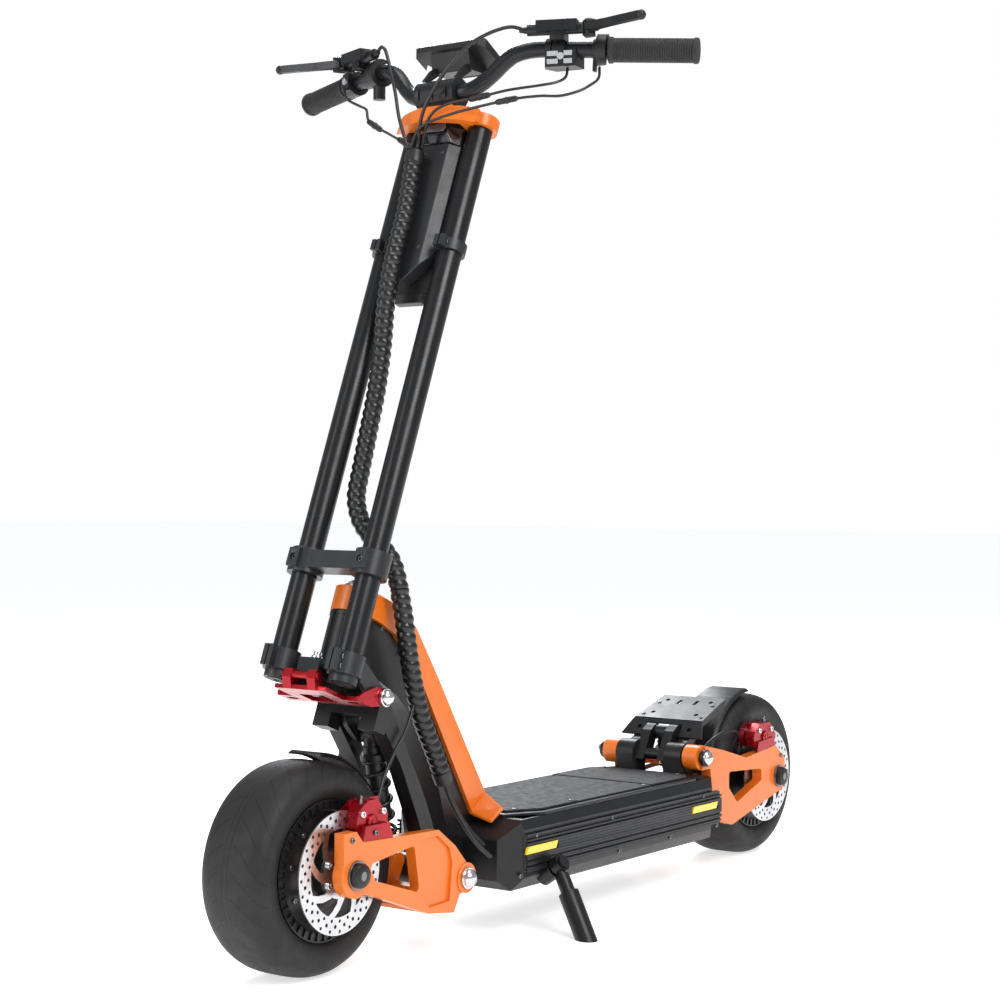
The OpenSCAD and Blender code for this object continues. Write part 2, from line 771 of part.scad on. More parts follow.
module cable_loom() {
    color("#17181a") {
        sweep(loom_route, loom_r, loom_r, 10);
        sweep(lead_route_a, 3.2, 3.2);
        sweep(lead_route_b, 4.2, 4.2);
        sweep(front_hose_route, hose_r, hose_r);
        sweep(motor_lead_route, 4.5, 4.5);
        sweep(rear_hose_route, hose_r, hose_r);
        sweep(rear_lead_route, 4.5, 4.5);
    }
}

module bar_cables() {
    color("#141517") {
        sweep(left_hose_route, hose_r, hose_r);
        sweep(right_hose_route, hose_r, hose_r);
        sweep(pod_lead_route, 2, 2);
        sweep(throttle_lead_route, 2, 2);
        sweep(right_lead_route, 2, 2);
    }
}

// ---------- wheels ----------

module tyre(x) {
    outer = concat([[bead_r, 45], [96, 49]], arc([118, 34], 20, 135, 62, 6), [[136, 38], [139.2, 30], [tyre_r, 22]]);
    inner = [[tyre_r - 8, 20], [tyre_r - 10, 32], [124, 43], [112, 47], [100, 43], [bead_r, 38]];
    half = concat(outer, inner);
    profile = concat(outer, [for (i = [len(outer) - 1:-1:0]) [outer[i][0], -outer[i][1]]]);
    hollow = concat(inner, [for (i = [len(inner) - 1:-1:0]) [inner[i][0], -inner[i][1]]]);
    color("#1a1a1b") translate([x, 0, axle_z]) rotate([90, 0, 0]) difference() {
        rotate_extrude($fn = 128) polygon(profile);
        rotate_extrude($fn = 128) polygon(hollow);
    }
}

// Hub motor, its rim and the disc's boss on the left, hollow round the stator
module motor(x) {
    color("#232427") translate([x, 0, axle_z]) rotate([90, 0, 0]) difference() {
        rotate_extrude($fn = 96) polygon([
            [7 + running, -69.2], [35, -69.2], [35, -54], [46, -50], [52, -44], [78, -44], [81, -48], [bead_r, -48],
            [bead_r, 48], [81, 48], [78, 44], [52, 44], [40, 50], [20, 54], [18, 66], [7 + running, 66]]);
        rotate_extrude($fn = 96) polygon([
            [7, -34], [68, -34], [76, -28], [76, 28], [68, 34], [7, 34]]);
    }
}

// Drilled brake disc with swirled arms
module rotor(x) {
    color("#c3c5c9") translate([x, 71.6, axle_z]) rotate([90, 0, 0]) difference() {
        linear_extrude(2.3) difference() {
            union() {
                difference() {
                    circle(r = disc_r);
                    circle(r = disc_r - 23);
                }
                circle(r = 33);
                for (a = [0:45:315])
                    rotate(a) polygon([[20, -12], [34, -9], [47, 0], [56, 11], [60, 20], [54, 25], [47, 14], [38, 5], [22, 2]]);
            }
            circle(r = 13);
        }
        for (a = [0:15:345]) {
            rotate(a) translate([disc_r - 4.6, 0, -1]) cylinder(r = 2.3, h = 5, $fn = 16);
            rotate(a + 7.5) translate([disc_r - 11.5, 0, -1]) cylinder(r = 2.6, h = 5, $fn = 16);
            rotate(a) translate([disc_r - 18.2, 0, -1]) cylinder(r = 2.3, h = 5, $fn = 16);
        }
        for (a = [30:60:330])
            rotate(a) translate([26, 0, -1]) cylinder(r = 2.6, h = 5, $fn = 16);
    }
}

// Fixed axle with the stator, spacers, washers and black end caps
module axle(x, arm_in, arm_out) {
    color("#9a9da3") {
        cross_bar([x, axle_z], 7, -arm_out, arm_out);
        cross_bar([x, axle_z], 70, -24, 24);
        cross_bars([x, axle_z], 11, 72.6, arm_in);
        cross_bars([x, axle_z], 19, arm_out, arm_out + 3);
        cross_bars([x, axle_z], 15, arm_out + 3, arm_out + 9);
        cross_bars([x, axle_z], 10, arm_out + 9, arm_out + 12);
    }
}

// Two-piece caliper round the disc, standing on the arm
module caliper_half(y0, y1, low, high) {
    slab(y0, y1) polygon([
        [low[0] + 12, low[1]], [high[0] - 10, low[1]], [high[0], low[1] + 16], [high[0] - 6, high[1] - 12],
        [high[0] - 26, high[1]], [low[0] + 22, high[1]], [low[0], high[1] - 22], [low[0] + 2, low[1] + 12]]);
}

module caliper(low, high) {
    color("#b81822") {
        caliper_half(58, 68.6, low, high);
        caliper_half(72.6, 90, low, high);
        block([(low[0] + high[0]) / 2 - 34, 68.5, high[1] - 12], [(low[0] + high[0]) / 2 - 8, 72.7, high[1]]);
        block([(low[0] + high[0]) / 2 + 8, 68.5, high[1] - 12], [(low[0] + high[0]) / 2 + 26, 72.7, high[1]]);
    }
}

// Mudguard shell: part of a ring round the wheel, from angle a0 to a1
module guard_shell(x, half_w, a0, a1) {
    translate([x, 0, axle_z]) rotate([90, 0, 0]) rotate([0, 0, a0]) rotate_extrude(angle = a1 - a0, $fn = 128)
        polygon([[148, -half_w + 6], [148, half_w - 6], [145, half_w - 2], [146.5, half_w], [151, half_w - 6],
            [151, -half_w + 6], [146.5, -half_w], [145, -half_w + 2]]);
}

// ---------- front end ----------

module front_swingarm() {
    boss = [axle_x, axle_z];
    color("#f07f1f") difference() {
        union() {
            difference() {
                slabs(84, 100) {
                    polygon([
                        [597, 126], [605, 160], [605, 196], [580, 196], [567, 181], [504, 178.6], [407, 176],
                        [370, 150], [333.6, 113], [334, 92], [358.6, 81], [372, 58.5], [428, 66], [550.7, 110]]);
                    translate(boss) circle(r = 30);
                }
                slabs(83, 101) offset(r = 6) polygon([[545, 145], [465, 155.5], [456, 106], [537, 132]]);
                slabs(96, 101) polygon([[446, 92], [446, 168], [408, 168], [382, 148], [376, 128], [382, 76], [426, 74]]);
            }
            difference() {
                slabs(82, 102) translate(front_pivot) circle(r = 21);
            }
            slab(-84, 84) polygon([[396, 64], [420, 64], [424, 70], [424, 98], [402, 98], [396, 90]]);
            slabs(13, 21) {
                polygon([[398, 90], [424, 94], [404, 132], [384, 130], [386, 112]]);
                translate(front_eye_low) circle(r = 11);
            }
        }
        cross_bar(front_pivot, 12 + running, -110, 110);
        cross_bar(front_eye_low, 5, -13.1, 13.1);
        cross_bar(boss, 7, -110, 110);
    }
    color("#c9cbd0") cross_bar(front_eye_low, 5, -21, 21);
}

module front_axle() {
    axle(axle_x, 84, 100);
}

module front_caliper() {
    caliper([504, 182], [570, 231]);
    color("#b81822") {
        slab(90.1, 99) polygon([[504, 178.8], [566, 181.2], [560, 200], [512, 200]]);
    }
}

module front_mudguard() {
    color("#1b1c1e") difference() {
        union() {
            difference() {
                guard_shell(axle_x, 30, 95, 209);
                // opening for the shock
                translate([axle_x, 0, axle_z]) rotate([90, 0, 0]) rotate([0, 0, 130])
                    rotate_extrude(angle = 50) translate([130, -24]) square([40, 48]);
            }
            difference() {
                block([424.1, -22, 78], [440, 22, 98]);
                cross_bar([axle_x, axle_z], 150.8, -30, 30);
            }
        }
        cross_bar([axle_x, axle_z], 144, -60, 60);
    }
}

module front_tyre() {
    tyre(axle_x);
}

module front_motor() {
    motor(axle_x);
}

module front_rotor() {
    rotor(axle_x);
}

// ---------- shocks ----------

// Damper body, hung from its upper eye
module shock_body(top, low, l_body) {
    towards(in3(top), in3(low)) difference() {
        union() {
            translate([0, 12.5, 0]) rotate([90, 0, 0]) cylinder(r = 11, h = 25);
            cylinder(r = 12, h = 16);
            translate([0, 0, 15]) cylinder(r = 14, h = l_body - 15);
            translate([0, 0, 26]) cylinder(r = 19.5, h = 8);
        }
        translate([0, 20, 0]) rotate([90, 0, 0]) cylinder(r = 5 + running, h = 40);
        translate([0, 0, 40]) cylinder(r = 6 + running, h = l_body);
    }
}

// Damper rod with the lower eye and the spring's seat
module shock_rod(top, low, l_seat) {
    l = norm(low - top);
    towards(in3(top), in3(low)) difference() {
        union() {
            translate([0, 0, 60]) cylinder(r = 6, h = l - 68);
            translate([0, 0, l_seat]) cylinder(r = 19.5, h = 7);
            translate([0, 0, l_seat + 6]) cylinder(r = 12, h = l - l_seat - 14);
            translate([0, 12.5, l]) rotate([90, 0, 0]) cylinder(r = 10, h = 25);
        }
        translate([0, 20, l]) rotate([90, 0, 0]) cylinder(r = 5.9, h = 40);
    }
}

// Coil spring as a plain sleeve of its outer size
module shock_spring(top, low, z0, z1) {
    towards(in3(top), in3(low)) translate([0, 0, z0]) difference() {
        cylinder(r = 19, h = z1 - z0);
        translate([0, 0, -1]) cylinder(r = 14.3, h = z1 - z0 + 2);
    }
}

module front_shock() {
    color("#26272a") shock_body(front_eye_top, front_eye_low, 118);
}

module front_shock_rod() {
    color("#b81822") shock_rod(front_eye_top, front_eye_low, 146);
}

module front_spring() {
    color("#18191b") shock_spring(front_eye_top, front_eye_low, 34.1, 145.9);
}

module rear_shock() {
    color("#26272a") shock_body(rear_eye_top, rear_eye_low, 92);
}

module rear_shock_rod() {
    color("#b81822") shock_rod(rear_eye_top, rear_eye_low, 112);
}

module rear_spring() {
    color("#18191b") shock_spring(rear_eye_top, rear_eye_low, 34.1, 111.9);
}

// ---------- rear end ----------

module rear_swingarm() {
    boss = [-axle_x, axle_z];
    color("#f07f1f") difference() {
        union() {
            difference() {
                slabs(76, 94) {
                    polygon([
                        [-323, 217], [-380, 205], [-461.8, 184], [-566, 195], [-600, 170], [-603, 140], [-590, 116],
                        [-500, 96], [-414.6, 76], [-373.6, 88.9], [-346, 140], [-338.5, 178], [-312, 178]]);
                    translate(boss) circle(r = 27);
                }
                slabs(75, 95) offset(r = 6) polygon([[-408, 160], [-510, 154], [-510, 144], [-432, 119], [-408, 142]]);
                block([-335.5, 60, 60], [-290, 120, 177]);
                block([-335.5, -120, 60], [-290, -60, 177]);
            }
            cross_bars(rear_pivot, 20.5, 64, 90);
            difference() {
                block([-384, -76, 84], [-365, 76, 112]);
                block([-385, -12.9, 80], [-372, 12.9, 120]);
            }
            slabs(13.2, 22) {
                polygon([[-383, 86], [-383, 111], [-398, 111], [-404, 96], [-392, 88]]);
                translate(rear_eye_low) circle(r = 10.5);
            }
            block([-436, -76, 165], [-429, 76, 176.5]);
        }
        cross_bar(rear_pivot, 10 + running, -110, 110);
        cross_bar(rear_eye_low, 5, -13.3, 13.3);
        cross_bar(boss, 7, -110, 110);
    }
    color("#c9cbd0") cross_bar(rear_eye_low, 5, -22, 22);
}

module rear_axle() {
    axle(-axle_x, 76, 94);
}

module rear_caliper() {
    caliper([-574, 197], [-494, 236]);
    color("#b81822") slab(90.1, 93.9) polygon([[-566, 196], [-500, 188.4], [-506, 206], [-560, 210]]);
}

module rear_mudguard() {
    color("#1b1c1e") guard_shell(-axle_x, 40, 15, 86);
}

module rear_tyre() {
    tyre(-axle_x);
}

module rear_motor() {
    motor(-axle_x);
}

module rear_rotor() {
    rotor(-axle_x);
}

deck_tray();
deck_plate();
foot_mat();
side_rails();
side_reflectors();
rear_frame();
neck_sides();
neck_core();
headset_bearings();
battery_pack();
motor_controllers();
kick_plate();
kickstand_bracket();
steerer();
fork_crown();
fork_arch();
fork_pins();
latch_lever();
safety_pin();
stem_tubes();
stem_clamps();
stem_crown();
control_box();
box_cover();
headlight();
handlebar();
bar_clamp();
grips();
display();
brake_masters();
switch_pods();
thumb_housings();
cable_loom();
bar_cables();
front_swingarm();
front_axle();
front_caliper();
front_mudguard();
front_tyre();
front_motor();
front_rotor();
front_shock();
front_shock_rod();
front_spring();
rear_swingarm();
rear_axle();
rear_caliper();
rear_mudguard();
rear_tyre();
rear_motor();
rear_rotor();
rear_shock();
rear_shock_rod();
rear_spring();
kickstand();
brake_lever_left();
brake_lever_right();
throttle_paddle();
horn_button();
mode_button();
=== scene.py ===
import json
import math

import bmesh
import bpy
from mathutils import Matrix, Vector


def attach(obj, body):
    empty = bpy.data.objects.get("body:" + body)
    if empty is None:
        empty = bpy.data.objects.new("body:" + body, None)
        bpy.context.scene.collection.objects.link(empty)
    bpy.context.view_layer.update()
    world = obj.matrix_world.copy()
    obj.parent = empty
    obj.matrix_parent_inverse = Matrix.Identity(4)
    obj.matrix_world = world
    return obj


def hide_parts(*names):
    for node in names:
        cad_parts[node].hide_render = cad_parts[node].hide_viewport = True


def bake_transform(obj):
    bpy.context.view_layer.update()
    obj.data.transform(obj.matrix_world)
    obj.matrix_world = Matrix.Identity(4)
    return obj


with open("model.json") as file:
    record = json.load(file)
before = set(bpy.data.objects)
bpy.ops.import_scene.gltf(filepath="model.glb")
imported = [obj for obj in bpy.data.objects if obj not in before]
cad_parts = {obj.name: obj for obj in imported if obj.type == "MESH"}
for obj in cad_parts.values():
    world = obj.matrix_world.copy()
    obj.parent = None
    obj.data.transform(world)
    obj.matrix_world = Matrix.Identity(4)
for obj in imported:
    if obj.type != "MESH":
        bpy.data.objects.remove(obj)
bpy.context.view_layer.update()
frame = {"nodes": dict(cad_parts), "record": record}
NODES = frame["nodes"]
BODY_OF = {n: b for b, ns in frame["record"]["behaviour"]["bodies"].items() for n in ns}
MM = 0.001

# ---------- driving places, in metres ----------

AXLE_Z = 0.140
AXLE_X = 0.5788
TYRE_R = 0.140
BEAD_R = 0.092
RAKE = math.radians(21.33)
STEM_FOOT = Vector((0.70775, 0, 0))
TUBE_Y = 0.0557
HEAD_X = -0.051
FOLD = (-0.073, 0.414)
FRONT_PIVOT = Vector((0.345, 0, 0.102))
REAR_PIVOT = Vector((-0.3165, 0, 0.198))
FRONT_EYES = (Vector((0.430, 0, 0.300)), Vector((0.392, 0, 0.124)))
REAR_EYES = (Vector((-0.345, 0, 0.232)), Vector((-0.395, 0, 0.100)))
GRIP_IN = Vector((0.2028, 0.234, 1.2467))
GRIP_OUT = Vector((0.157, 0.351, 1.240))


def mm(*rows):
    """Rows of millimetres as vectors in metres."""
    return [Vector(r) * MM for r in rows]


def stem(x, y, z):
    """A point given in the raked stem's frame, in metres."""
    c, s = math.cos(RAKE), math.sin(RAKE)
    return STEM_FOOT + Vector((c * x - s * z, y, s * x + c * z))


def stem_dir(x, y, z):
    """A direction given in the raked stem's frame."""
    return stem(x, y, z) - STEM_FOOT


# ---------- camera, light and floor ----------

def make_stage():
    cam_data = bpy.data.cameras.new("camera")
    cam = bpy.data.objects.new("camera", cam_data)
    bpy.context.scene.collection.objects.link(cam)
    right = Vector((-0.5776, 0.8163, 0.006))
    up = Vector((-0.002, -0.0087, 1.0))
    look = Vector((-0.8163, -0.5776, -0.0066))
    turn = Matrix((right, up, -look)).transposed()
    cam.matrix_world = Matrix.Translation((2.5841, 1.7591, 0.6292)) @ turn.to_4x4()
    cam_data.sensor_width = 36
    cam_data.lens = 73.1
    cam_data.shift_x = -0.0126
    cam_data.shift_y = 0.0075
    cam_data.clip_end = 60
    bpy.context.scene.camera = cam

    scene = bpy.context.scene
    scene.view_settings.view_transform = "Standard"
    world = bpy.data.worlds.new("studio")
    scene.world = world
    world.use_nodes = True
    tree = world.node_tree
    seen = tree.nodes["Background"]
    seen.inputs["Color"].default_value = (1, 1, 1, 1)
    seen.inputs["Strength"].default_value = 1.0
    soft = tree.nodes.new("ShaderNodeBackground")
    soft.inputs["Color"].default_value = (0.95, 0.97, 1.0, 1)
    soft.inputs["Strength"].default_value = 0.42
    path = tree.nodes.new("ShaderNodeLightPath")
    either = tree.nodes.new("ShaderNodeMixShader")
    tree.links.new(path.outputs["Is Camera Ray"], either.inputs[0])
    tree.links.new(soft.outputs[0], either.inputs[1])
    tree.links.new(seen.outputs[0], either.inputs[2])
    tree.links.new(either.outputs[0], tree.nodes["World Output"].inputs["Surface"])

    def area(name, place, target, size, watts, tint=(1, 1, 1)):
        data = bpy.data.lights.new(name, "AREA")
        data.shape = "RECTANGLE"
        data.size, data.size_y = size
        data.energy = watts
        data.color = tint
        lamp = bpy.data.objects.new(name, data)
        lamp.location = place
        lamp.rotation_euler = (Vector(target) - Vector(place)).to_track_quat("-Z", "Y").to_euler()
        scene.collection.objects.link(lamp)

    area("key", (1.6, 3.2, 3.2), (0, 0, 0.5), (2.0, 2.0), 120, (1, 0.985, 0.96))
    area("front_fill", (3.6, -1.4, 1.8), (0.2, 0, 0.6), (1.2, 2.6), 45)
    area("rim", (-2.6, -2.4, 2.6), (0, 0, 0.6), (1.0, 3.0), 95, (0.95, 0.97, 1))
    area("top", (0.2, 0.2, 4.2), (0, 0, 0), (3.0, 1.6), 60)

    floor_mesh = bpy.data.meshes.new("floor")
    half = 30
    floor_mesh.from_pydata([(-half, -half, 0), (half, -half, 0), (half, half, 0), (-half, half, 0)], [], [(0, 1, 2, 3)])
    floor = bpy.data.objects.new("floor", floor_mesh)
    scene.collection.objects.link(floor)
    floor.data.materials.append(MAT["floor"])


# ---------- materials ----------

class Tree:
    """A material's node tree, with short calls for the nodes used here."""

    def __init__(self, name):
        self.m = bpy.data.materials.new(name)
        self.m.use_nodes = True
        self.t = self.m.node_tree
        self.shader = self.t.nodes["Principled BSDF"]
        self.coord = self.t.nodes.new("ShaderNodeTexCoord").outputs["Object"]

    def link(self, a, b):
        self.t.links.new(a, b)
        return b

    def noise(self, scale, detail=3.0, rough=0.55, vector=None):
        n = self.t.nodes.new("ShaderNodeTexNoise")
        n.inputs["Scale"].default_value = scale
        n.inputs["Detail"].default_value = detail
        n.inputs["Roughness"].default_value = rough
        self.link(vector or self.coord, n.inputs["Vector"])
        return n.outputs["Fac"]

    def cells(self, scale, feature="F1", vector=None):
        n = self.t.nodes.new("ShaderNodeTexVoronoi")
        n.feature = feature
        n.inputs["Scale"].default_value = scale
        self.link(vector or self.coord, n.inputs["Vector"])
        return n.outputs["Distance"]

    def math(self, op, a, b=None, c=None):
        n = self.t.nodes.new("ShaderNodeMath")
        n.operation = op
        for k, v in enumerate((a, b, c)):
            if v is None:
                continue
            if isinstance(v, (int, float)):
                n.inputs[k].default_value = v
            else:
                self.link(v, n.inputs[k])
        return n.outputs[0]

    def remap(self, value, low, high, to_low, to_high):
        n = self.t.nodes.new("ShaderNodeMapRange")
        for key, v in (("From Min", low), ("From Max", high), ("To Min", to_low), ("To Max", to_high)):
            n.inputs[key].default_value = v
        self.link(value, n.inputs["Value"])
        return n.outputs["Result"]

    def mix(self, fac, a, b):
        n = self.t.nodes.new("ShaderNodeMix")
        n.data_type = "RGBA"
        self.link(fac, n.inputs[0])
        for key, v in ((6, a), (7, b)):
            if isinstance(v, tuple):
                n.inputs[key].default_value = (*v, 1)
            else:
                self.link(v, n.inputs[key])
        return n.outputs[2]

    def stretch(self, scale):
        n = self.t.nodes.new("ShaderNodeMapping")
        n.inputs["Scale"].default_value = scale
        self.link(self.coord, n.inputs["Vector"])
        return n.outputs["Vector"]

    def split(self):
        n = self.t.nodes.new("ShaderNodeSeparateXYZ")
        self.link(self.coord, n.inputs[0])
        return n.outputs[0], n.outputs[1], n.outputs[2]

    def join(self, x, y, z):
        n = self.t.nodes.new("ShaderNodeCombineXYZ")
        for k, v in enumerate((x, y, z)):
            if isinstance(v, (int, float)):
                n.inputs[k].default_value = v
            else:
                self.link(v, n.inputs[k])
        return n.outputs[0]

    def polar(self, x0, z0):
        """Angle in turns and radius in metres round a wheel's axle at x0, z0."""
        x, _, z = self.split()
        dx = self.math("SUBTRACT", x, x0)
        dz = self.math("SUBTRACT", z, z0)
        turn = self.math("DIVIDE", self.math("ARCTAN2", dz, dx), 2 * math.pi)
        radius = self.math("SQRT", self.math("ADD", self.math("MULTIPLY", dx, dx), self.math("MULTIPLY", dz, dz)))
        return turn, radius

    def bump(self, height, distance, strength=1.0):
        n = self.t.nodes.new("ShaderNodeBump")
        n.inputs["Strength"].default_value = strength
        n.inputs["Distance"].default_value = distance
        self.link(height, n.inputs["Height"])
        if self.shader.inputs["Normal"].is_linked:
            self.link(self.shader.inputs["Normal"].links[0].from_socket, n.inputs["Normal"])
        self.link(n.outputs["Normal"], self.shader.inputs["Normal"])

    def set(self, **values):
        for key, v in values.items():
            self.shader.inputs[key.replace("_", " ")].default_value = v


def shade(c, k):
    return tuple(min(1.0, v * k) for v in c)


def finish_material(name, color, rough, metal=0.0, mottle=0.12, grain=900, grain_depth=0.00002, spread=0.12,
                    coat=0.0, scuff=0.0, specular=0.5, streak=None):
    """Base finish: mottled colour, uneven roughness, fine bump, and pale scuffs where asked."""
    t = Tree(name)
    patches = t.noise(14, 4) if streak is None else t.noise(9, 4, vector=t.stretch(streak))
    base = t.mix(t.remap(patches, 0.3, 0.7, 0, 1), shade(color, 1 - mottle), shade(color, 1 + mottle))
    if scuff:
        marks = t.remap(t.noise(60, 8, 0.75), 0.62, 0.74, 0, scuff)
        base = t.mix(marks, base, shade(tuple(c + 0.05 for c in color), 1.5))
    t.link(base, t.shader.inputs["Base Color"])
    t.link(t.remap(t.noise(38, 6, 0.65), 0.3, 0.7, rough - spread / 2, rough + spread / 2), t.shader.inputs["Roughness"])
    t.bump(t.noise(grain, 2), grain_depth)
    t.set(Metallic=metal, Specular_IOR_Level=specular, Coat_Weight=coat, Coat_Roughness=0.12)
    return t


def tyre_material(name, x0):
    """Tread rubber with curved sipes and rings on the side wall; the sipes and centre lines of the tread are coloured
    near black as painted shade.
    """
    t = Tree(name)
    turn, radius = t.polar(x0, AXLE_Z)
    _, y, _ = t.split()
    across = t.math("ABSOLUTE", y)
    sweep = t.math("MULTIPLY", t.math("POWER", t.math("MULTIPLY", across, 22), 1.6), 0.045)
    blade = t.math("FRACT", t.math("MULTIPLY", t.math("ADD", turn, sweep), 26))
    line = t.math("LESS_THAN", t.math("ABSOLUTE", t.math("SUBTRACT", blade, 0.5)), 0.035)
    on_tread = t.remap(radius, 0.117, 0.123, 0, 1)
    off_middle = t.remap(across, 0.008, 0.012, 0, 1)
    sipe = t.math("MULTIPLY", t.math("MULTIPLY", line, on_tread), off_middle)
    centre = t.math("LESS_THAN", t.math("ABSOLUTE", t.math("SUBTRACT", across, 0.004)), 0.0009)
    groove_and_shade = t.math("MAXIMUM", sipe, t.math("MULTIPLY", centre, on_tread))
    rings = t.math("LESS_THAN", t.math("ABSOLUTE", t.math("SUBTRACT", radius, 0.111)), 0.0008)
    ring_two = t.math("LESS_THAN", t.math("ABSOLUTE", t.math("SUBTRACT", radius, 0.099)), 0.0006)
    side = t.math("MAXIMUM", rings, ring_two)
    dust = t.remap(t.noise(26, 6, 0.7), 0.35, 0.75, 0, 1)
    rubber = t.mix(dust, (0.0075, 0.0075, 0.0078), (0.0135, 0.0134, 0.0132))
    # painted shade: the sipes and centre lines are coloured near black, darker than the rubber
    t.link(t.mix(groove_and_shade, rubber, (0.003, 0.003, 0.003)), t.shader.inputs["Base Color"])
    t.link(t.remap(t.noise(50, 5), 0.3, 0.7, 0.52, 0.68), t.shader.inputs["Roughness"])
    t.bump(t.math("SUBTRACT", 1.0, groove_and_shade), 0.0012)
    t.bump(side, 0.0006)
    t.bump(t.noise(1500, 2), 0.00006)
    t.set(Specular_IOR_Level=0.42)
    return t.m


def brushed_ring_material(name, x0, color, rough):
    """Metal brushed in circles round an axle."""
    t = Tree(name)
    turn, radius = t.polar(x0, AXLE_Z)
    lines = t.noise(1, 3, vector=t.join(t.math("MULTIPLY", radius, 2600), t.math("MULTIPLY", turn, 6), 0.0))
    patches = t.remap(t.noise(30, 3), 0.3, 0.7, 0, 1)
    t.link(t.mix(patches, shade(color, 0.86), shade(color, 1.08)), t.shader.inputs["Base Color"])
    t.link(t.remap(lines, 0.3, 0.7, rough - 0.08, rough + 0.1), t.shader.inputs["Roughness"])
    t.bump(lines, 0.00003)
    t.set(Metallic=1.0)
    return t.m


def mat_material(name, color):
    """Foot mat: small raised studs in rows, with painted shade in the gaps between them and paler patches at random."""
    t = Tree(name)
    x, y, _ = t.split()
    pitch = 230.0
    u = t.math("ABSOLUTE", t.math("SINE", t.math("MULTIPLY", t.math("ADD", x, y), pitch * 2)))
    v = t.math("ABSOLUTE", t.math("SINE", t.math("MULTIPLY", t.math("SUBTRACT", x, y), pitch * 2)))
    stud_and_gap_shade = t.remap(t.math("MULTIPLY", u, v), 0.25, 0.6, 0, 1)
    wear = t.remap(t.noise(11, 5), 0.35, 0.7, 0, 1)
    base = t.mix(wear, shade(color, 0.85), shade(color, 1.2))
    # painted shade: the gaps between the studs are coloured darker than the stud tops
    t.link(t.mix(stud_and_gap_shade, shade(color, 0.6), base), t.shader.inputs["Base Color"])
    t.link(t.remap(t.noise(80, 4), 0.3, 0.7, 0.55, 0.75), t.shader.inputs["Roughness"])
    t.bump(stud_and_gap_shade, 0.0004)
    t.bump(t.noise(1400, 2), 0.00003)
    return t.m


def grip_material(name, color):
    """Moulded grip rubber with a fine pebble."""
    t = Tree(name)
    pebble = t.cells(900)
    t.link(t.mix(t.remap(t.noise(40, 4), 0.3, 0.7, 0, 1), shade(color, 0.8), shade(color, 1.3)), t.shader.inputs["Base Color"])
    t.link(t.remap(t.noise(90, 4), 0.3, 0.7, 0.55, 0.72), t.shader.inputs["Roughness"])
    t.bump(pebble, 0.00025)
    return t.m


def reflector_material(name, color):
    """Yellow reflector with its small prisms under a clear face; each prism is coloured darker at its centre and paler
    towards its edges as painted glints and shade.
    """
    t = Tree(name)
    prism_and_glint = t.cells(420)
    # painted glints and shade: each prism cell darker at its centre, paler towards its edges
    t.link(t.mix(t.remap(prism_and_glint, 0.0, 0.6, 0, 1), shade(color, 0.75), shade(color, 1.2)), t.shader.inputs["Base Color"])
    t.link(t.remap(t.noise(60, 3), 0.3, 0.7, 0.2, 0.3), t.shader.inputs["Roughness"])
    t.bump(prism_and_glint, 0.0003)
    t.set(Coat_Weight=0.8, Coat_Roughness=0.05)
    return t.m


def lens_material(name):
    """Headlight lens: clear ribs over a bright reflector, with paler and darker stripes along the ribs as painted
    highlights and shade.
    """
    t = Tree(name)
    _, y, _ = t.split()
    rib_and_sheen = t.math("ABSOLUTE", t.math("SINE", t.math("MULTIPLY", y, 900)))
    # painted highlights and shade: paler and darker stripes following the ribs
    t.link(t.mix(rib_and_sheen, (0.05, 0.052, 0.056), (0.12, 0.124, 0.13)), t.shader.inputs["Base Color"])
    t.link(t.remap(t.noise(60, 3), 0.3, 0.7, 0.08, 0.16), t.shader.inputs["Roughness"])
    t.bump(rib_and_sheen, 0.0003)
    t.set(Coat_Weight=0.8, Coat_Roughness=0.04)
    return t.m


def screen_material(name):
    """Dark display glass."""
    t = Tree(name)
    t.link(t.mix(t.remap(t.noise(20, 3), 0.3, 0.7, 0, 1), (0.006, 0.007, 0.009), (0.012, 0.013, 0.016)), t.shader.inputs["Base Color"])
    t.link(t.remap(t.noise(30, 4), 0.3, 0.7, 0.1, 0.2), t.shader.inputs["Roughness"])
    t.bump(t.noise(500, 2), 0.000004)
    t.set(Coat_Weight=0.5, Coat_Roughness=0.04)
    return t.m


def floor_material(name):
    """Pale studio floor with a faint glow of its own, so that it stays white into the distance."""
    t = finish_material(name, (0.84, 0.84, 0.845), 0.7, mottle=0.01, grain=60, grain_depth=0.0001)
    t.set(Emission_Color=(1, 1, 1, 1), Emission_Strength=0.62)
    return t.m


def ribbed_material(name, color, pitch, rough):
    """Extruded rail with fine ridges along its length, with painted shade darkening the furrows between them and paler
    ridge tops as painted light.
    """
    t = Tree(name)
    _, _, z = t.split()
    ridge = t.math("ABSOLUTE", t.math("SINE", t.math("MULTIPLY", z, math.pi / pitch)))
    line = t.remap(ridge, 0.15, 0.5, 0, 1)
    # painted shade in the furrows between the ridges, painted highlight on the ridge tops
    t.link(t.mix(line, shade(color, 0.45), shade(color, 1.15)), t.shader.inputs["Base Color"])
    t.link(t.remap(t.noise(50, 5), 0.3, 0.7, rough - 0.06, rough + 0.06), t.shader.inputs["Roughness"])
    t.bump(line, 0.0009)
    t.bump(t.noise(900, 2), 0.00002)
    t.set(Metallic=0.5)
    return t.m


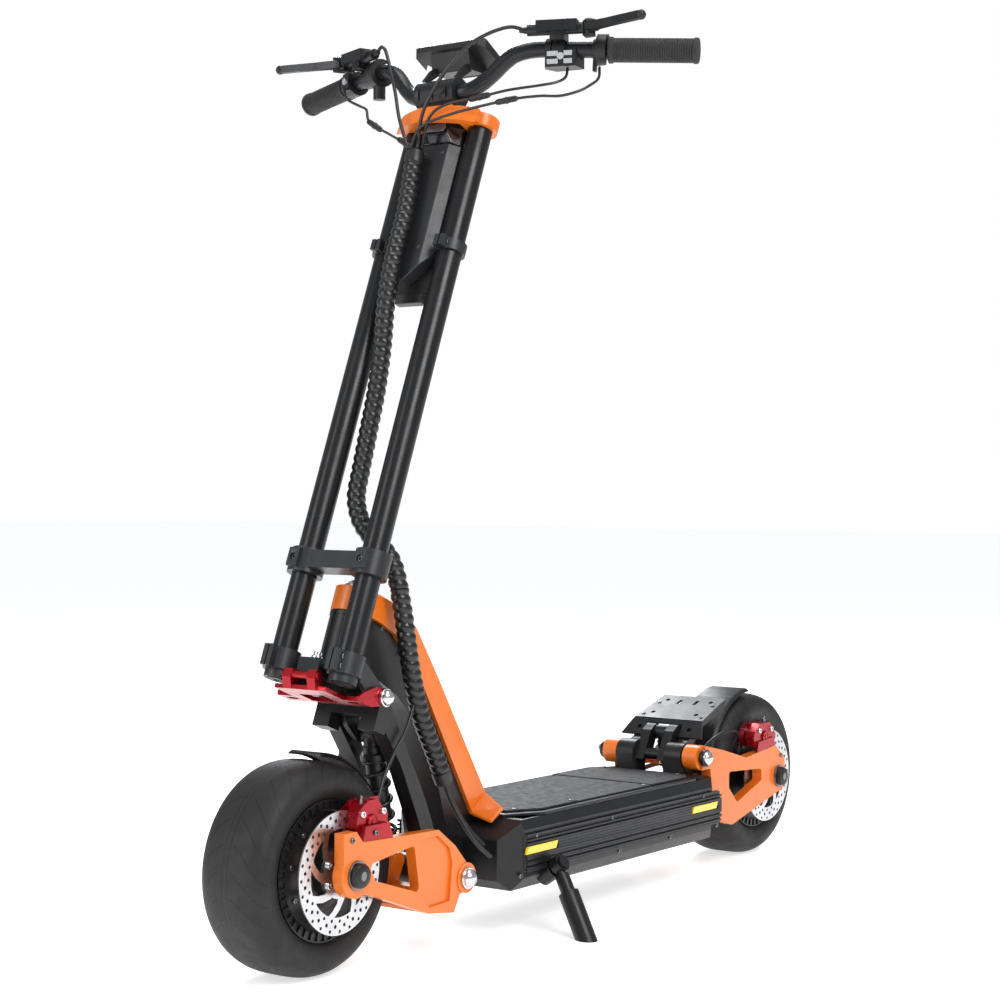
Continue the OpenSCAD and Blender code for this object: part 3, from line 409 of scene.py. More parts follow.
ORANGE = (0.74, 0.158, 0.008)
MAT = {
    "floor": floor_material("floor"),
    "orange_paint": finish_material("orange_paint", ORANGE, 0.36, mottle=0.05, grain=700, grain_depth=0.00003, coat=0.25,
                                    scuff=0.12).m,
    "black_metal": finish_material("black_metal", (0.007, 0.0072, 0.008), 0.36, mottle=0.18, grain=1300,
                                   grain_depth=0.00004, scuff=0.1, specular=0.4).m,
    "dark_anodised": finish_material("dark_anodised", (0.013, 0.0135, 0.015), 0.34, metal=0.3, grain=1100,
                                     grain_depth=0.00002, scuff=0.1, specular=0.45).m,
    "grey_anodised": finish_material("grey_anodised", (0.028, 0.029, 0.032), 0.38, metal=0.4, grain=1100,
                                     grain_depth=0.00002, scuff=0.12).m,
    "rail_ribs": ribbed_material("rail_ribs", (0.02, 0.021, 0.023), 0.0042, 0.36),
    "red_anodised": finish_material("red_anodised", (0.36, 0.004, 0.012), 0.28, metal=0.7, mottle=0.12, grain=1000,
                                    grain_depth=0.00002, coat=0.2).m,
    "silver": finish_material("silver", (0.66, 0.67, 0.69), 0.24, metal=1.0, mottle=0.06, grain=800,
                              grain_depth=0.00001, scuff=0.05).m,
    "steel_dark": finish_material("steel_dark", (0.2, 0.205, 0.215), 0.3, metal=1.0, mottle=0.1, grain=800,
                                  grain_depth=0.00001).m,
    "soft_rubber": grip_material("soft_rubber", (0.010, 0.010, 0.0105)),
    "mat_rubber": mat_material("mat_rubber", (0.020, 0.021, 0.0235)),
    "black_plastic": finish_material("black_plastic", (0.008, 0.0082, 0.009), 0.42, mottle=0.12, grain=2200,
                                     grain_depth=0.00006, specular=0.42).m,
    "glossy_black": finish_material("glossy_black", (0.01, 0.01, 0.012), 0.12, mottle=0.1, spread=0.06, grain=300,
                                    grain_depth=0.000005, coat=0.6).m,
    "yellow_reflector": reflector_material("yellow_reflector", (0.83, 0.55, 0.01)),
    "wrap_plastic": finish_material("wrap_plastic", (0.008, 0.0083, 0.009), 0.3, mottle=0.15, grain=1500,
                                    grain_depth=0.00003).m,
    "hose_rubber": finish_material("hose_rubber", (0.008, 0.008, 0.0088), 0.4, mottle=0.15, grain=1800,
                                   grain_depth=0.00004).m,
    "battery_film": finish_material("battery_film", (0.03, 0.07, 0.14), 0.35, mottle=0.1, grain=500).m,
    "button_grey": finish_material("button_grey", (0.36, 0.37, 0.39), 0.42, mottle=0.06, grain=1500).m,
    "tube_satin": finish_material("tube_satin", (0.011, 0.0115, 0.013), 0.3, metal=0.35, grain=1200, grain_depth=0.00002,
                                  scuff=0.08, streak=(14, 14, 1.5)).m,
    "front_tread": tyre_material("front_tread", AXLE_X),
    "rear_tread": tyre_material("rear_tread", -AXLE_X),
    "front_disc": brushed_ring_material("front_disc", AXLE_X, (0.62, 0.625, 0.64), 0.3),
    "rear_disc": brushed_ring_material("rear_disc", -AXLE_X, (0.62, 0.625, 0.64), 0.3),
    "screen": screen_material("screen"),
    "lens": lens_material("lens"),
}


# ---------- building pieces ----------

def piece(name, mesh, body, material, replaces=(), smooth=True):
    """Links a mesh as a piece on a body, and stands for the CAD nodes named; given a tuple of two bodies, start and
    end, it only bakes the piece in place, joined to no body.
    """
    o = bpy.data.objects.new(name, mesh)
    bpy.context.scene.collection.objects.link(o)
    if isinstance(material, str):
        material = [material]
    mesh.materials.clear()
    for m in material:
        mesh.materials.append(MAT[m])
    if smooth:
        mesh.shade_smooth()
        mesh.set_sharp_from_angle(angle=math.radians(32))
    if isinstance(body, tuple):
        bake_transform(o)
    else:
        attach(o, body)
    if replaces:
        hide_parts(*replaces)
    return o


def mesh_from(name, verts, faces):
    mesh = bpy.data.meshes.new(name)
    mesh.from_pydata([tuple(v) for v in verts], [], faces)
    mesh.validate()
    return mesh


def add_bevel(o, width, segments=2, angle=28):
    b = o.modifiers.new("edges", "BEVEL")
    b.width = width
    b.segments = segments
    b.limit_method = "ANGLE"
    b.angle_limit = math.radians(angle)
    b.harden_normals = True
    b.use_clamp_overlap = True
    return o


def soften(node, material, width=0.0008, segments=2, angle=28):
    """A CAD node again with small rounded edges."""
    mesh = NODES[node].data.copy()
    mesh.name = node + "_body"
    bm = bmesh.new()
    bm.from_mesh(mesh)
    bmesh.ops.remove_doubles(bm, verts=bm.verts, dist=0.000002)
    bmesh.ops.dissolve_limit(bm, angle_limit=math.radians(0.4), verts=bm.verts, edges=bm.edges)
    bmesh.ops.recalc_face_normals(bm, faces=bm.faces)
    bm.to_mesh(mesh)
    bm.free()
    o = piece(node + "_body", mesh, BODY_OF[node], material, [node])
    add_bevel(o, width, segments, angle)
    return o


def carry(node, material):
    """A CAD node kept as it is, with its material."""
    data = NODES[node].data
    data.materials.clear()
    data.materials.append(MAT[material])


def frame_on(route):
    """A steady frame (tangent, side, up) at each point of a route."""
    frames = []
    side = None
    for i in range(len(route)):
        t = (route[min(i + 1, len(route) - 1)] - route[max(i - 1, 0)]).normalized()
        if side is None:
            side = t.orthogonal().normalized()
        else:
            side = (side - t * side.dot(t)).normalized()
        frames.append((t, side, t.cross(side)))
    return frames


def smooth_route(points, step):
    """A Catmull-Rom curve through the points, resampled about every step metres."""
    fine = []
    ends = [points[0] * 2 - points[1]] + list(points) + [points[-1] * 2 - points[-2]]
    for i in range(1, len(ends) - 2):
        a, b, c, d = ends[i - 1:i + 3]
        for k in range(16):
            u = k / 16
            fine.append(0.5 * (2 * b + (c - a) * u + (2 * a - 5 * b + 4 * c - d) * u * u + (3 * b - a - 3 * c + d) * u ** 3))
    fine.append(points[-1].copy())
    total = sum((fine[i + 1] - fine[i]).length for i in range(len(fine) - 1))
    count = max(2, round(total / step))
    out, want, run = [fine[0].copy()], total / count, 0.0
    for i in range(len(fine) - 1):
        seg = (fine[i + 1] - fine[i]).length
        while run + seg >= want * len(out) - 1e-9 and len(out) <= count:
            out.append(fine[i].lerp(fine[i + 1], (want * len(out) - run) / max(seg, 1e-9)))
        run += seg
    return out


def tube_mesh(name, route, radius, sides=14):
    """A tube along a route; radius is a number or a function of (distance, turn)."""
    frames = frame_on(route)
    verts, faces, run = [], [], 0.0
    for i, p in enumerate(route):
        if i:
            run += (p - route[i - 1]).length
        _, side, up = frames[i]
        for k in range(sides):
            a = 2 * math.pi * k / sides
            r = radius(run, k / sides) if callable(radius) else radius
            verts.append(p + side * (r * math.cos(a)) + up * (r * math.sin(a)))
    for i in range(len(route) - 1):
        for k in range(sides):
            a, b = i * sides + k, i * sides + (k + 1) % sides
            faces.append((a, b, b + sides, a + sides))
    faces.append(tuple(reversed(range(sides))))
    faces.append(tuple(range((len(route) - 1) * sides, len(route) * sides)))
    return mesh_from(name, verts, faces)


def lathe_mesh(name, profile, centre, axis, segments=64, closed=False):
    """A profile of (radius, height) turned round an axis through centre."""
    axis = Vector(axis).normalized()
    side = axis.orthogonal().normalized()
    up = axis.cross(side)
    verts, faces = [], []
    for r, h in profile:
        for k in range(segments):
            a = 2 * math.pi * k / segments
            verts.append(Vector(centre) + axis * h + (side * math.cos(a) + up * math.sin(a)) * r)
    rows = len(profile)
    for i in range(rows if closed else rows - 1):
        for k in range(segments):
            j = (i + 1) % rows
            a, b = i * segments + k, i * segments + (k + 1) % segments
            c, d = j * segments + (k + 1) % segments, j * segments + k
            faces.append((a, b, c, d))
    if not closed:
        faces.append(tuple(reversed(range(segments))))
        faces.append(tuple(range((rows - 1) * segments, rows * segments)))
    return mesh_from(name, verts, faces)


def joined(name, meshes):
    """One mesh holding all of those given."""
    bm = bmesh.new()
    for m in meshes:
        bm.from_mesh(m)
    out = bpy.data.meshes.new(name)
    bm.to_mesh(out)
    bm.free()
    for m in meshes:
        bpy.data.meshes.remove(m)
    return out


def prism_mesh(name, outline, y0, y1, to_place=None):
    """An outline of (x, z) made solid from y0 to y1; to_place moves each point."""
    n = len(outline)
    pts = [Vector((x, y, z)) for y in (y0, y1) for x, z in outline]
    if to_place:
        pts = [to_place(p) for p in pts]
    faces = [tuple(range(n)), tuple(reversed(range(n, 2 * n)))]
    faces += [(k, k + n, (k + 1) % n + n, (k + 1) % n) for k in range(n)]
    mesh = mesh_from(name, pts, faces)
    bm = bmesh.new()
    bm.from_mesh(mesh)
    bmesh.ops.recalc_face_normals(bm, faces=bm.faces)
    bm.to_mesh(mesh)
    bm.free()
    return mesh


def helix(centre_a, centre_b, radius, turns, per_turn=20, flat_ends=0.75):
    """Points of a coil from centre_a to centre_b, with closed flat ends."""
    axis = (centre_b - centre_a)
    length = axis.length
    axis.normalize()
    side = axis.orthogonal().normalized()
    up = axis.cross(side)
    count = int(turns * per_turn)
    points = []
    for i in range(count + 1):
        u = i / count
        turn = u * turns
        t = (turn - flat_ends) / (turns - 2 * flat_ends)
        h = length * min(1.0, max(0.0, t))
        a = 2 * math.pi * turn
        points.append(centre_a + axis * h + (side * math.cos(a) + up * math.sin(a)) * radius)
    return points


BOLTS = {}


def bolt(body, place, axis, r=0.004, h=0.004, hexed=True, material="steel_dark", domed=False):
    """Adds a socket-head or domed bolt; all bolts of one body and material become one piece."""
    place, axis = Vector(place), Vector(axis).normalized()
    side = axis.orthogonal().normalized()
    up = axis.cross(side)
    if domed:
        profile = [(r, 0)] + [(r * math.cos(a), h * math.sin(a)) for a in [math.radians(d) for d in range(10, 90, 16)]] + [(r * 0.05, h)]
        m = lathe_mesh("bolt", profile, place, axis, 24)
    elif hexed:
        profile = [(r, 0), (r, h * 0.8), (r * 0.86, h), (r * 0.56, h), (r * 0.52, h * 0.45), (0.01 * r, h * 0.42)]
        m = lathe_mesh("bolt", profile, place, axis, 18)
    else:
        ring = [(math.cos(math.radians(60 * k)), math.sin(math.radians(60 * k))) for k in range(6)]
        verts = [place + axis * z + (side * c + up * s) * r for z in (0, h) for c, s in ring]
        faces = [tuple(reversed(range(6))), tuple(range(6, 12))] + [(k, (k + 1) % 6, (k + 1) % 6 + 6, k + 6) for k in range(6)]
        m = mesh_from("bolt", verts, faces)
    BOLTS.setdefault((body, material), []).append(m)


def make_bolts():
    for (body, material), meshes in BOLTS.items():
        piece(f"{body}_bolts_{material}", joined("bolts", meshes), body, material)


# ---------- cables ----------

LOOM = mm(
    (314, -20, 1110), (333, -14, 1060), (349, -10, 1019), (375, -9, 955), (390, -10, 893), (393, -14, 830),
    (399, -19, 771), (412, -22, 715), (428, -22, 661), (440, -20, 625), (446, -10, 598), (448, 5, 578),
    (446, 22, 562), (441, 38, 545), (437, 46, 525), (434, 51, 500), (430, 55, 468), (425, 57, 435),
    (418, 57, 403), (405, 55, 365), (390, 53, 330), (373, 51, 302), (355, 50, 275), (340, 49, 250),
    (329, 48, 230))
LEADS = {
    "deck_lead_thin": (mm((328, 45, 229), (316, 47, 205), (296, 52, 175), (272, 59, 148), (253.5, 64, 132)), 3.2),
    "deck_lead_thick": (mm((330, 51, 229), (320, 54, 203), (302, 61, 170), (280, 70, 138), (254.5, 76, 116)), 4.2),
}
FRONT_HOSE = mm((500, 64, 207), (490, 63, 226), (476, 60, 250), (452, 58, 280), (426, 58, 310), (404, 55, 345))
MOTOR_LEAD = mm(
    (562, -108, 152), (520, -112, 158), (470, -110, 172), (430, -102, 196), (409, -88, 228), (409, -73, 256),
    (418, -61, 275), (430, -50.5, 287))
REAR_HOSE = mm((-490.5, 64, 214), (-474, 66, 225), (-440, 62, 226), (-400, 56, 212), (-366, 50, 186), (-338.5, 46, 150))
REAR_LEAD = mm((-560, -106, 146), (-520, -110, 152), (-460, -108, 150), (-400, -102, 142), (-350, -103, 132), (-339.8, -94, 129))
BAR_HOSES = {
    "left_brake_hose": (mm(
        (262, 133, 1276), (272, 114, 1281), (290, 92, 1272), (301, 65, 1257), (309, 45, 1237), (313, 22, 1211),
        (316, 4, 1184), (318, -7, 1156), (318, -12, 1118)), 2.6),
    "right_brake_hose": (mm(
        (262, -133, 1276), (273, -115, 1281), (289, -95, 1270), (301, -78, 1245), (310, -60, 1203),
        (316, -48, 1165), (318, -37, 1138), (317, -30, 1118)), 2.6),
    "pod_lead": (mm(
        (231.6, 184, 1222.6), (240, 186, 1208), (256, 180, 1199), (272, 160, 1194), (290, 124, 1189), (301, 83, 1182),
        (308, 30, 1176), (316, 6, 1158), (309, -12, 1118)), 2.0),
    "throttle_lead": (mm(
        (218, 228, 1221), (230, 234, 1203), (248, 230, 1190), (263, 222, 1181), (276, 201, 1175), (287, 172, 1176),
        (303, 131, 1172), (318, 50, 1160), (326, 0, 1145), (325, -20, 1118)), 2.0),
    "right_lead": (mm(
        (230.4, -222.7, 1240), (250, -200, 1218), (274, -158, 1200), (292, -128, 1188), (300, -118, 1172),
        (304, -102, 1160), (306, -70, 1143), (308, -42, 1128), (308, -25, 1116)), 2.0),
}
SPLIT = 15
WRAP_R = 13.4 * MM
WRAP_PITCH = 13.0 * MM


def wrap_radius(distance, turn):
    """Rounded spiral ribs of the loom's wrap."""
    phase = (distance / WRAP_PITCH + turn) % 1.0
    return WRAP_R * (0.80 + 0.20 * abs(math.sin(math.pi * phase)) ** 0.6)


def make_cables():
    step = WRAP_PITCH / 9
    upper = smooth_route(LOOM[:SPLIT + 1], step)
    lower = smooth_route(LOOM[SPLIT:], step)
    piece("loom_upper", tube_mesh("loom_upper", upper, wrap_radius, 20), ("stem", "fork", LOOM[8], LOOM[15]), "wrap_plastic",
          ["cable_loom"])
    piece("loom_lower", tube_mesh("loom_lower", lower, wrap_radius, 20), ("fork", "chassis", LOOM[15], LOOM[19]), "wrap_plastic")
    for name, (route, r) in LEADS.items():
        piece(name, tube_mesh(name, smooth_route(route, 0.006), r * MM, 12), "chassis", "hose_rubber")
    # heat-shrink at the loom's two ends
    for name, at, to, body in (("loom_cuff_top", LOOM[0], LOOM[1], "stem"), ("loom_cuff_foot", LOOM[-1], LOOM[-2], "chassis")):
        d = (to - at).normalized()
        piece(name, lathe_mesh(name, [(9.4 * MM, -0.004), (13.2 * MM, -0.002), (13.8 * MM, 0.012), (13.2 * MM, 0.016)], at, d, 28), body,
              "hose_rubber")
    for name, route, r, arm, other, i, j in (
            ("front_brake_hose", FRONT_HOSE, 2.6, "front_arm", "fork", 1, 4), ("front_motor_lead", MOTOR_LEAD, 4.5, "front_arm", "fork", 2, 5),
            ("rear_brake_hose", REAR_HOSE, 2.6, "rear_arm", "chassis", 1, 4), ("rear_motor_lead", REAR_LEAD, 4.5, "rear_arm", "chassis", 1, 4)):
        piece(name, tube_mesh(name, smooth_route(route, 0.005), r * MM, 12), (arm, other, route[i], route[j]), "hose_rubber")
    for k, (name, (route, r)) in enumerate(BAR_HOSES.items()):
        piece(name, tube_mesh(name, smooth_route(route, 0.005), r * MM, 10), "stem", "hose_rubber",
              ["bar_cables"] if k == 0 else ())
    # joint sleeves on the thin leads
    for name, key, i in (("sleeve_pod", "pod_lead", 5), ("sleeve_throttle", "throttle_lead", 6), ("sleeve_right", "right_lead", 5),
                         ("sleeve_right_low", "right_lead", 7)):
        route = BAR_HOSES[key][0]
        d = (route[i + 1] - route[i - 1]).normalized()
        profile = [(2.0, -17), (3.6, -15), (4.3, -12), (4.3, -2), (5.0, -1), (5.0, 1), (4.3, 2), (4.3, 12), (3.6, 15), (2.0, 17)]
        piece(name, lathe_mesh(name, [(a * MM, b * MM) for a, b in profile], route[i], d, 20), "stem", "black_plastic")


# ---------- wheels ----------

def tyre_profile():
    """Half outline of the tyre from bead to the middle of the tread, in metres."""
    half = [(92, 38), (92, 45), (95, 48.2), (99, 50.6), (104, 52.6), (110, 53.8), (116, 54), (122, 53), (127, 50.4), (131, 46.6),
            (134.4, 41.6), (136.8, 36), (138.6, 29.5), (139.6, 22), (140, 13), (140, 5)]
    return [(r * MM, y * MM) for r, y in half]


def make_wheel(side, x0):
    body = f"{side}_wheel"
    centre = Vector((x0, 0, AXLE_Z))
    half = tyre_profile()
    ring = half + [(r, -y) for r, y in reversed(half)]
    inner = [(132, -20), (124, -42), (108, -46), (96, -40), (96, 40), (108, 46), (124, 42), (132, 20)]
    ring += [(r * MM, y * MM) for r, y in inner[:4]] + [(r * MM, y * MM) for r, y in inner[4:]]
    piece(f"{side}_tyre_body", lathe_mesh("tyre", ring, centre, (0, 1, 0), 160, closed=True), body, f"{side}_tread", [f"{side}_tyre"])

    # hub motor: drum, stepped covers, and a ring of slots at the rim
    drum = [(7.5, -69), (34, -69), (35, -68), (35, -54), (40, -51.5), (46, -50), (52, -45), (54, -44), (70, -43), (77.5, -44.5),
            (79.5, -46.5), (79.5, -45.2), (90.2, -45.2), (90.2, -48), (92, -48)]
    left = [(92, 48), (90.2, 48), (90.2, 45.2), (79.5, 45.2), (79.5, 46.5), (77.5, 44.5), (70, 43), (54, 44), (52, 45), (40, 50), (22, 54),
            (19, 55), (18, 66), (7.5, 66)]
    profile = [(r * MM, -y * MM) for r, y in drum + left]
    parts = [lathe_mesh("drum", profile, centre, (0, 1, 0), 96)]
    for s in (-1, 1):
        for k in range(40):
            a = 2 * math.pi * k / 40
            radial = Vector((math.cos(a), 0, math.sin(a)))
            along = Vector((-math.sin(a), 0, math.cos(a)))
            verts = []
            for r in (79.6, 90.1):
                for w in (-2.6, 2.6):
                    for y in (45, 47.6):
                        verts.append(centre + radial * r * MM + along * w * MM * (r / 90) + Vector((0, s * y * MM, 0)))
            faces = [(0, 1, 3, 2), (4, 6, 7, 5), (0, 4, 5, 1), (2, 3, 7, 6), (0, 2, 6, 4), (1, 5, 7, 3)]
            parts.append(mesh_from("slot_bar", verts, faces))
    o = piece(f"{side}_motor_body", joined("motor", parts), body, "black_metal", [f"{side}_motor"])
    for k in range(9):
        a = 2 * math.pi * k / 9 + 0.2
        for s in (-1, 1):
            bolt(body, centre + Vector((0.064 * math.cos(a), s * 0.0432, 0.064 * math.sin(a))), (0, s, 0), 0.0035, 0.0022)
    carry(f"{side}_rotor", f"{side}_disc")
    for k in range(6):
        a = math.radians(30 + 60 * k)
        bolt(body, centre + Vector((0.026 * math.cos(a), 0.0716, 0.026 * math.sin(a))), (0, 1, 0), 0.0048, 0.0032, material="silver")


def make_spring(side, eyes, z0, z1):
    top, low = eyes
    d = (low - top).normalized()
    a, b = top + d * (z0 * MM + 0.0028), top + d * (z1 * MM - 0.0028)
    points = helix(a, b, 16.4 * MM, 6.2 if side == "front" else 5.2, 22)
    mesh = tube_mesh(f"{side}_coil", points, 2.6 * MM, 10)
    piece(f"{side}_coil", mesh, (f"{side}_damper", f"{side}_damper_rod", a, b), "black_metal", [f"{side}_spring"])


def make_axle_ends(side, x0, out):
    soften(f"{side}_axle", "steel_dark", 0.0006)
    for s in (-1, 1):
        base = Vector((x0, s * out, AXLE_Z))
        cap = [(15.4, 0), (16, 1.5), (16, 8), (14.6, 10.8), (11, 12.2), (6.2, 12.6), (6.2, 9.5), (0.1, 9.4)]
        piece(f"{side}_axle_cap_{'left' if s > 0 else 'right'}",
              lathe_mesh("cap", [(r * MM, h * MM) for r, h in cap], base, (0, s, 0), 36), f"{side}_arm", "black_plastic")


# ---------- bar and controls ----------

BAR_HALF = mm((280, 0, 1197), (280, 20, 1197), (280, 38, 1197), (277, 50, 1199), (271, 64, 1207), (264, 80, 1221), (258, 95, 1236),
              (252, 112, 1247), (240, 140, 1252), (221, 188, 1249.5), (202.8, 234, 1246.7), (157.5, 350, 1240))


def make_handlebar():
    right = [Vector((p.x, -p.y, p.z)) for p in reversed(BAR_HALF[1:])]
    route = smooth_route(right + BAR_HALF, 0.008)
    piece("handlebar_tube", tube_mesh("handlebar_tube", route, 11.4 * MM, 24), "stem", "tube_satin", ["handlebar"])


def flip(v):
    return Vector((v.x, -v.y, v.z))


def make_grips():
    parts = []
    for s in (-1, 1):
        a, b = (GRIP_IN, GRIP_OUT) if s > 0 else (flip(GRIP_IN), flip(GRIP_OUT))
        length = (b - a).length * 1000
        profile = [(12, 0), (18.2, 0.4), (18.5, 1), (18.5, 5), (17.6, 6)]
        z = 7.0
        while z < length - 8:
            profile += [(16.9, z), (16.9, z + 1.9), (16.2, z + 2.3), (16.2, z + 3.0)]
            z += 3.4
        profile += [(16.9, length - 7), (17.9, length - 6), (18, length - 1.4), (17, length - 0.2), (12, length), (6, length - 0.1), (0.1, length - 0.4)]
        parts.append(lathe_mesh("grip", [(r * MM, h * MM) for r, h in profile], a, b - a, 40))
    piece("grip_rubber", joined("grips", parts), "stem", "soft_rubber", ["grips"])


def make_display():
    soften("display", "black_plastic", 0.0016, 3)
    outline = [(-54, 0), (-56, -6), (-56, -50), (-48, -57), (48, -57), (56, -50), (56, -6), (54, 0)]
    front, back = Vector((261.5, 0, 1274.6)) * MM, Vector((206, 0, 1243.4)) * MM
    down = (back - front).normalized()
    normal = Vector((-down.z, 0, down.x))
    if normal.z < 0:
        normal = -normal
    verts = []
    for h in (-0.0006, 0.0006):
        for y, u in outline:
            verts.append(front + down * (-u * MM + 0.0015) + Vector((0, y * MM, 0)) + normal * h)
    n = len(outline)
    faces = [tuple(reversed(range(n))), tuple(range(n, 2 * n))] + [(k, (k + 1) % n, (k + 1) % n + n, k + n) for k in range(n)]
    add_bevel(piece("display_glass", mesh_from("display_glass", verts, faces), "stem", "screen"), 0.0003)


def make_levers():
    for side, s in (("left", 1), ("right", -1)):
        soften(f"brake_lever_{side}", "dark_anodised", 0.0018, 3)
        route = [Vector((x, s * y, 1277.9)) * MM for x, y in ((248, 248), (251.5, 268), (256, 290))]
        piece(f"lever_inset_{side}", tube_mesh("lever_inset", smooth_route(route, 0.006), 1.5 * MM, 8), f"{side}_lever", "steel_dark")
        bolt("stem", (0.241, s * 0.225, 1.2828), (0, 0, 1), 0.0046, 0.0022, material="silver")
        bolt("stem", (0.252, s * 0.196, 1.2849), (0, 0, 1), 0.0022, 0.0012)
        bolt("stem", (0.262, s * 0.162, 1.2849), (0, 0, 1), 0.0022, 0.0012)


# ---------- fittings ----------

def bordered_plate(name, corners, normal, thick, body, material, width=0.0006):
    """A thin plate through the corners given, raised along its normal, with soft edges."""
    n = len(corners)
    normal = Vector(normal).normalized()
    verts = [Vector(c) for c in corners] + [Vector(c) + normal * thick for c in corners]
    faces = [tuple(range(n)), tuple(range(n, 2 * n))] + [(k, (k + 1) % n, (k + 1) % n + n, k + n) for k in range(n)]
    mesh = mesh_from(name, verts, faces)
    bm = bmesh.new()
    bm.from_mesh(mesh)
    bmesh.ops.recalc_face_normals(bm, faces=bm.faces)
    bm.to_mesh(mesh)
    bm.free()
    return add_bevel(piece(name, mesh, body, material), width, 2)


def make_caliper_parts(side, x, z):
    """Piston cap, two long bolts, banjo fitting and bleed nipple on a caliper's outer face."""
    body = f"{side}_arm"
    face = 0.0902
    cap = [(10.5, -1), (10.5, 2.2), (9.4, 3), (7.6, 3), (7.2, 2.1), (3.4, 2.1), (3, 3.2), (0.1, 3.3)]
    piece(f"{side}_piston_cap", lathe_mesh("cap", [(r * MM, h * MM) for r, h in cap], (x, face, z - 0.004), (0, 1, 0), 36), body,
          "red_anodised")
    for dx, dz in ((-0.021, 0.008), (0.021, 0.008)):
        bolt(body, (x + dx, face - 0.0004, z + dz), (0, 1, 0), 0.0046, 0.0042, material="silver")
    sign = -1 if side == "front" else 1
    lug = Vector((x + sign * 0.026, 0.064, z + 0.006))
    parts = [lathe_mesh("banjo", [(r * MM, h * MM) for r, h in
                                  [(5.6, -5), (5.6, 5), (4.4, 6), (4.4, 8.5), (0.1, 8.6)]], lug, (0, 1, 0), 20)]
    parts.append(lathe_mesh("nipple", [(r * MM, h * MM) for r, h in [(3, -2), (3, 4), (1.9, 5), (1.9, 9), (0.1, 9.2)]],
                            (x - sign * 0.012, 0.081, z + 0.0215), (0, 0.1, 1), 14))
    piece(f"{side}_caliper_fittings", joined("fittings", parts), body, "steel_dark")


def make_domes():
    """Polished domed nuts on the shafts of both arms and of the stem fold."""
    dome = [(12.5, -0.5), (12.5, 1.6), (11.6, 4.2), (9.4, 7), (6, 9.2), (2.6, 10.2), (0.1, 10.4)]
    places = [("front_pivot", "fork", FRONT_PIVOT, 0.106, 1.0), ("rear_pivot", "chassis", REAR_PIVOT, 0.100, 0.95),
              ("fold", "fork", stem(FOLD[0], 0, FOLD[1]), 0.076, 0.85)]
    for name, body, centre, y, k in places:
        for s in (-1, 1):
            mesh = lathe_mesh("dome", [(r * k * MM, h * k * MM) for r, h in dome], centre + Vector((0, s * y, 0)), (0, s, 0), 36)
            piece(f"{name}_nut_{'left' if s > 0 else 'right'}", mesh, body, "silver")


def make_stem_fittings():
    forward, along = stem_dir(1, 0, 0), stem_dir(0, 0, 1)
    for s in (-1, 1):
        bolt("stem", stem(0.0222, s * 0.0577, 0.573), forward, 0.0047, 0.005)
        for z in (0.428, 0.441):
            bolt("stem", stem(0.021, s * 0.0637, z), (0, s, 0), 0.0034, 0.003)
        bolt("stem", stem(0.0205, s * 0.0636, 1.041), (0, s, 0), 0.0028, 0.0026)
        for y in (0.020,):
            for x in (0.020, 0.040):
                bolt("stem", stem(x, s * y, 1.2445), along, 0.003, 0.0022)
        # plugs in the two tube feet
        plug = [(14.8, 2), (14.8, -0.6), (13.4, -1.6), (6, -1.6), (5, -0.4), (0.1, -0.4)]
        piece(f"tube_plug_{'left' if s > 0 else 'right'}",
              lathe_mesh("plug", [(r * MM, h * MM) for r, h in plug], stem(0, s * TUBE_Y, 0.409), along, 40), "stem", "black_plastic")
        bolt("fork", stem(-0.1125, s * 0.040, 0.412), -forward, 0.0036, 0.003)
    for y in (-0.016, 0.016):
        for z in (1.035, 1.185):
            bolt("stem", stem(0.0219, y, z), forward, 0.0026, 0.0014)
    # clear lens with two lamps behind it, under the crown
    lens = [stem(x, y, z) for x, y, z in
            ((0.0306, -0.019, 1.2125), (0.0306, 0.019, 1.2125), (0.0332, 0.019, 1.2165), (0.0306, 0.019, 1.2265), (0.0306, -0.019, 1.2265),
             (0.0332, -0.019, 1.2165))]
    low, high = stem(0.0322, 0, 1.2135), stem(0.0312, 0, 1.2285)
    up = (high - low).normalized()
    out = Vector((0, 1, 0)).cross(up).normalized()
    corners = [low + Vector((0, y, 0)) + up * h for y, h in ((-0.017, 0), (0.017, 0), (0.020, 0.006), (0.017, 0.013), (-0.017, 0.013),
                                                              (-0.020, 0.006))]
    bordered_plate("headlight_lens", corners, out if out.x > 0 else -out, 0.0012, "stem", "lens")


def make_bar_fittings():
    """Buttons on the two pods, and small fittings on the masters."""
    for k, (y0, y1) in enumerate(((0.161, 0.176), (0.1835, 0.195))):
        for j, z in enumerate((1.2275, 1.2385)):
            a = Vector((0.250 - (y0 - 0.158) * 0.366 + 0.0004, y0, z))
            b = Vector((0.250 - (y1 - 0.158) * 0.366 + 0.0004, y1, z))
            rise = Vector((0, 0, 0.007))
            bordered_plate(f"pod_key_{k}{j}", [a, b, b + rise, a + rise], (0.94, 0.34, 0), 0.0016, "stem", "button_grey", 0.0006)
    for s in (-1, 1):
        nut = [(4.4, 0), (4.6, 1), (4.6, 6), (3.8, 7), (3.3, 12), (2.9, 13)]
        a = Vector((0.2655, s * 0.128, 1.2752))
        d = Vector((-0.36, s * 0.93, 0))
        piece(f"hose_nut_{'left' if s > 0 else 'right'}",
              lathe_mesh("nut", [(r * MM, h * MM) for r, h in nut], a + d * 0.011, -d, 20), "stem", "black_metal")


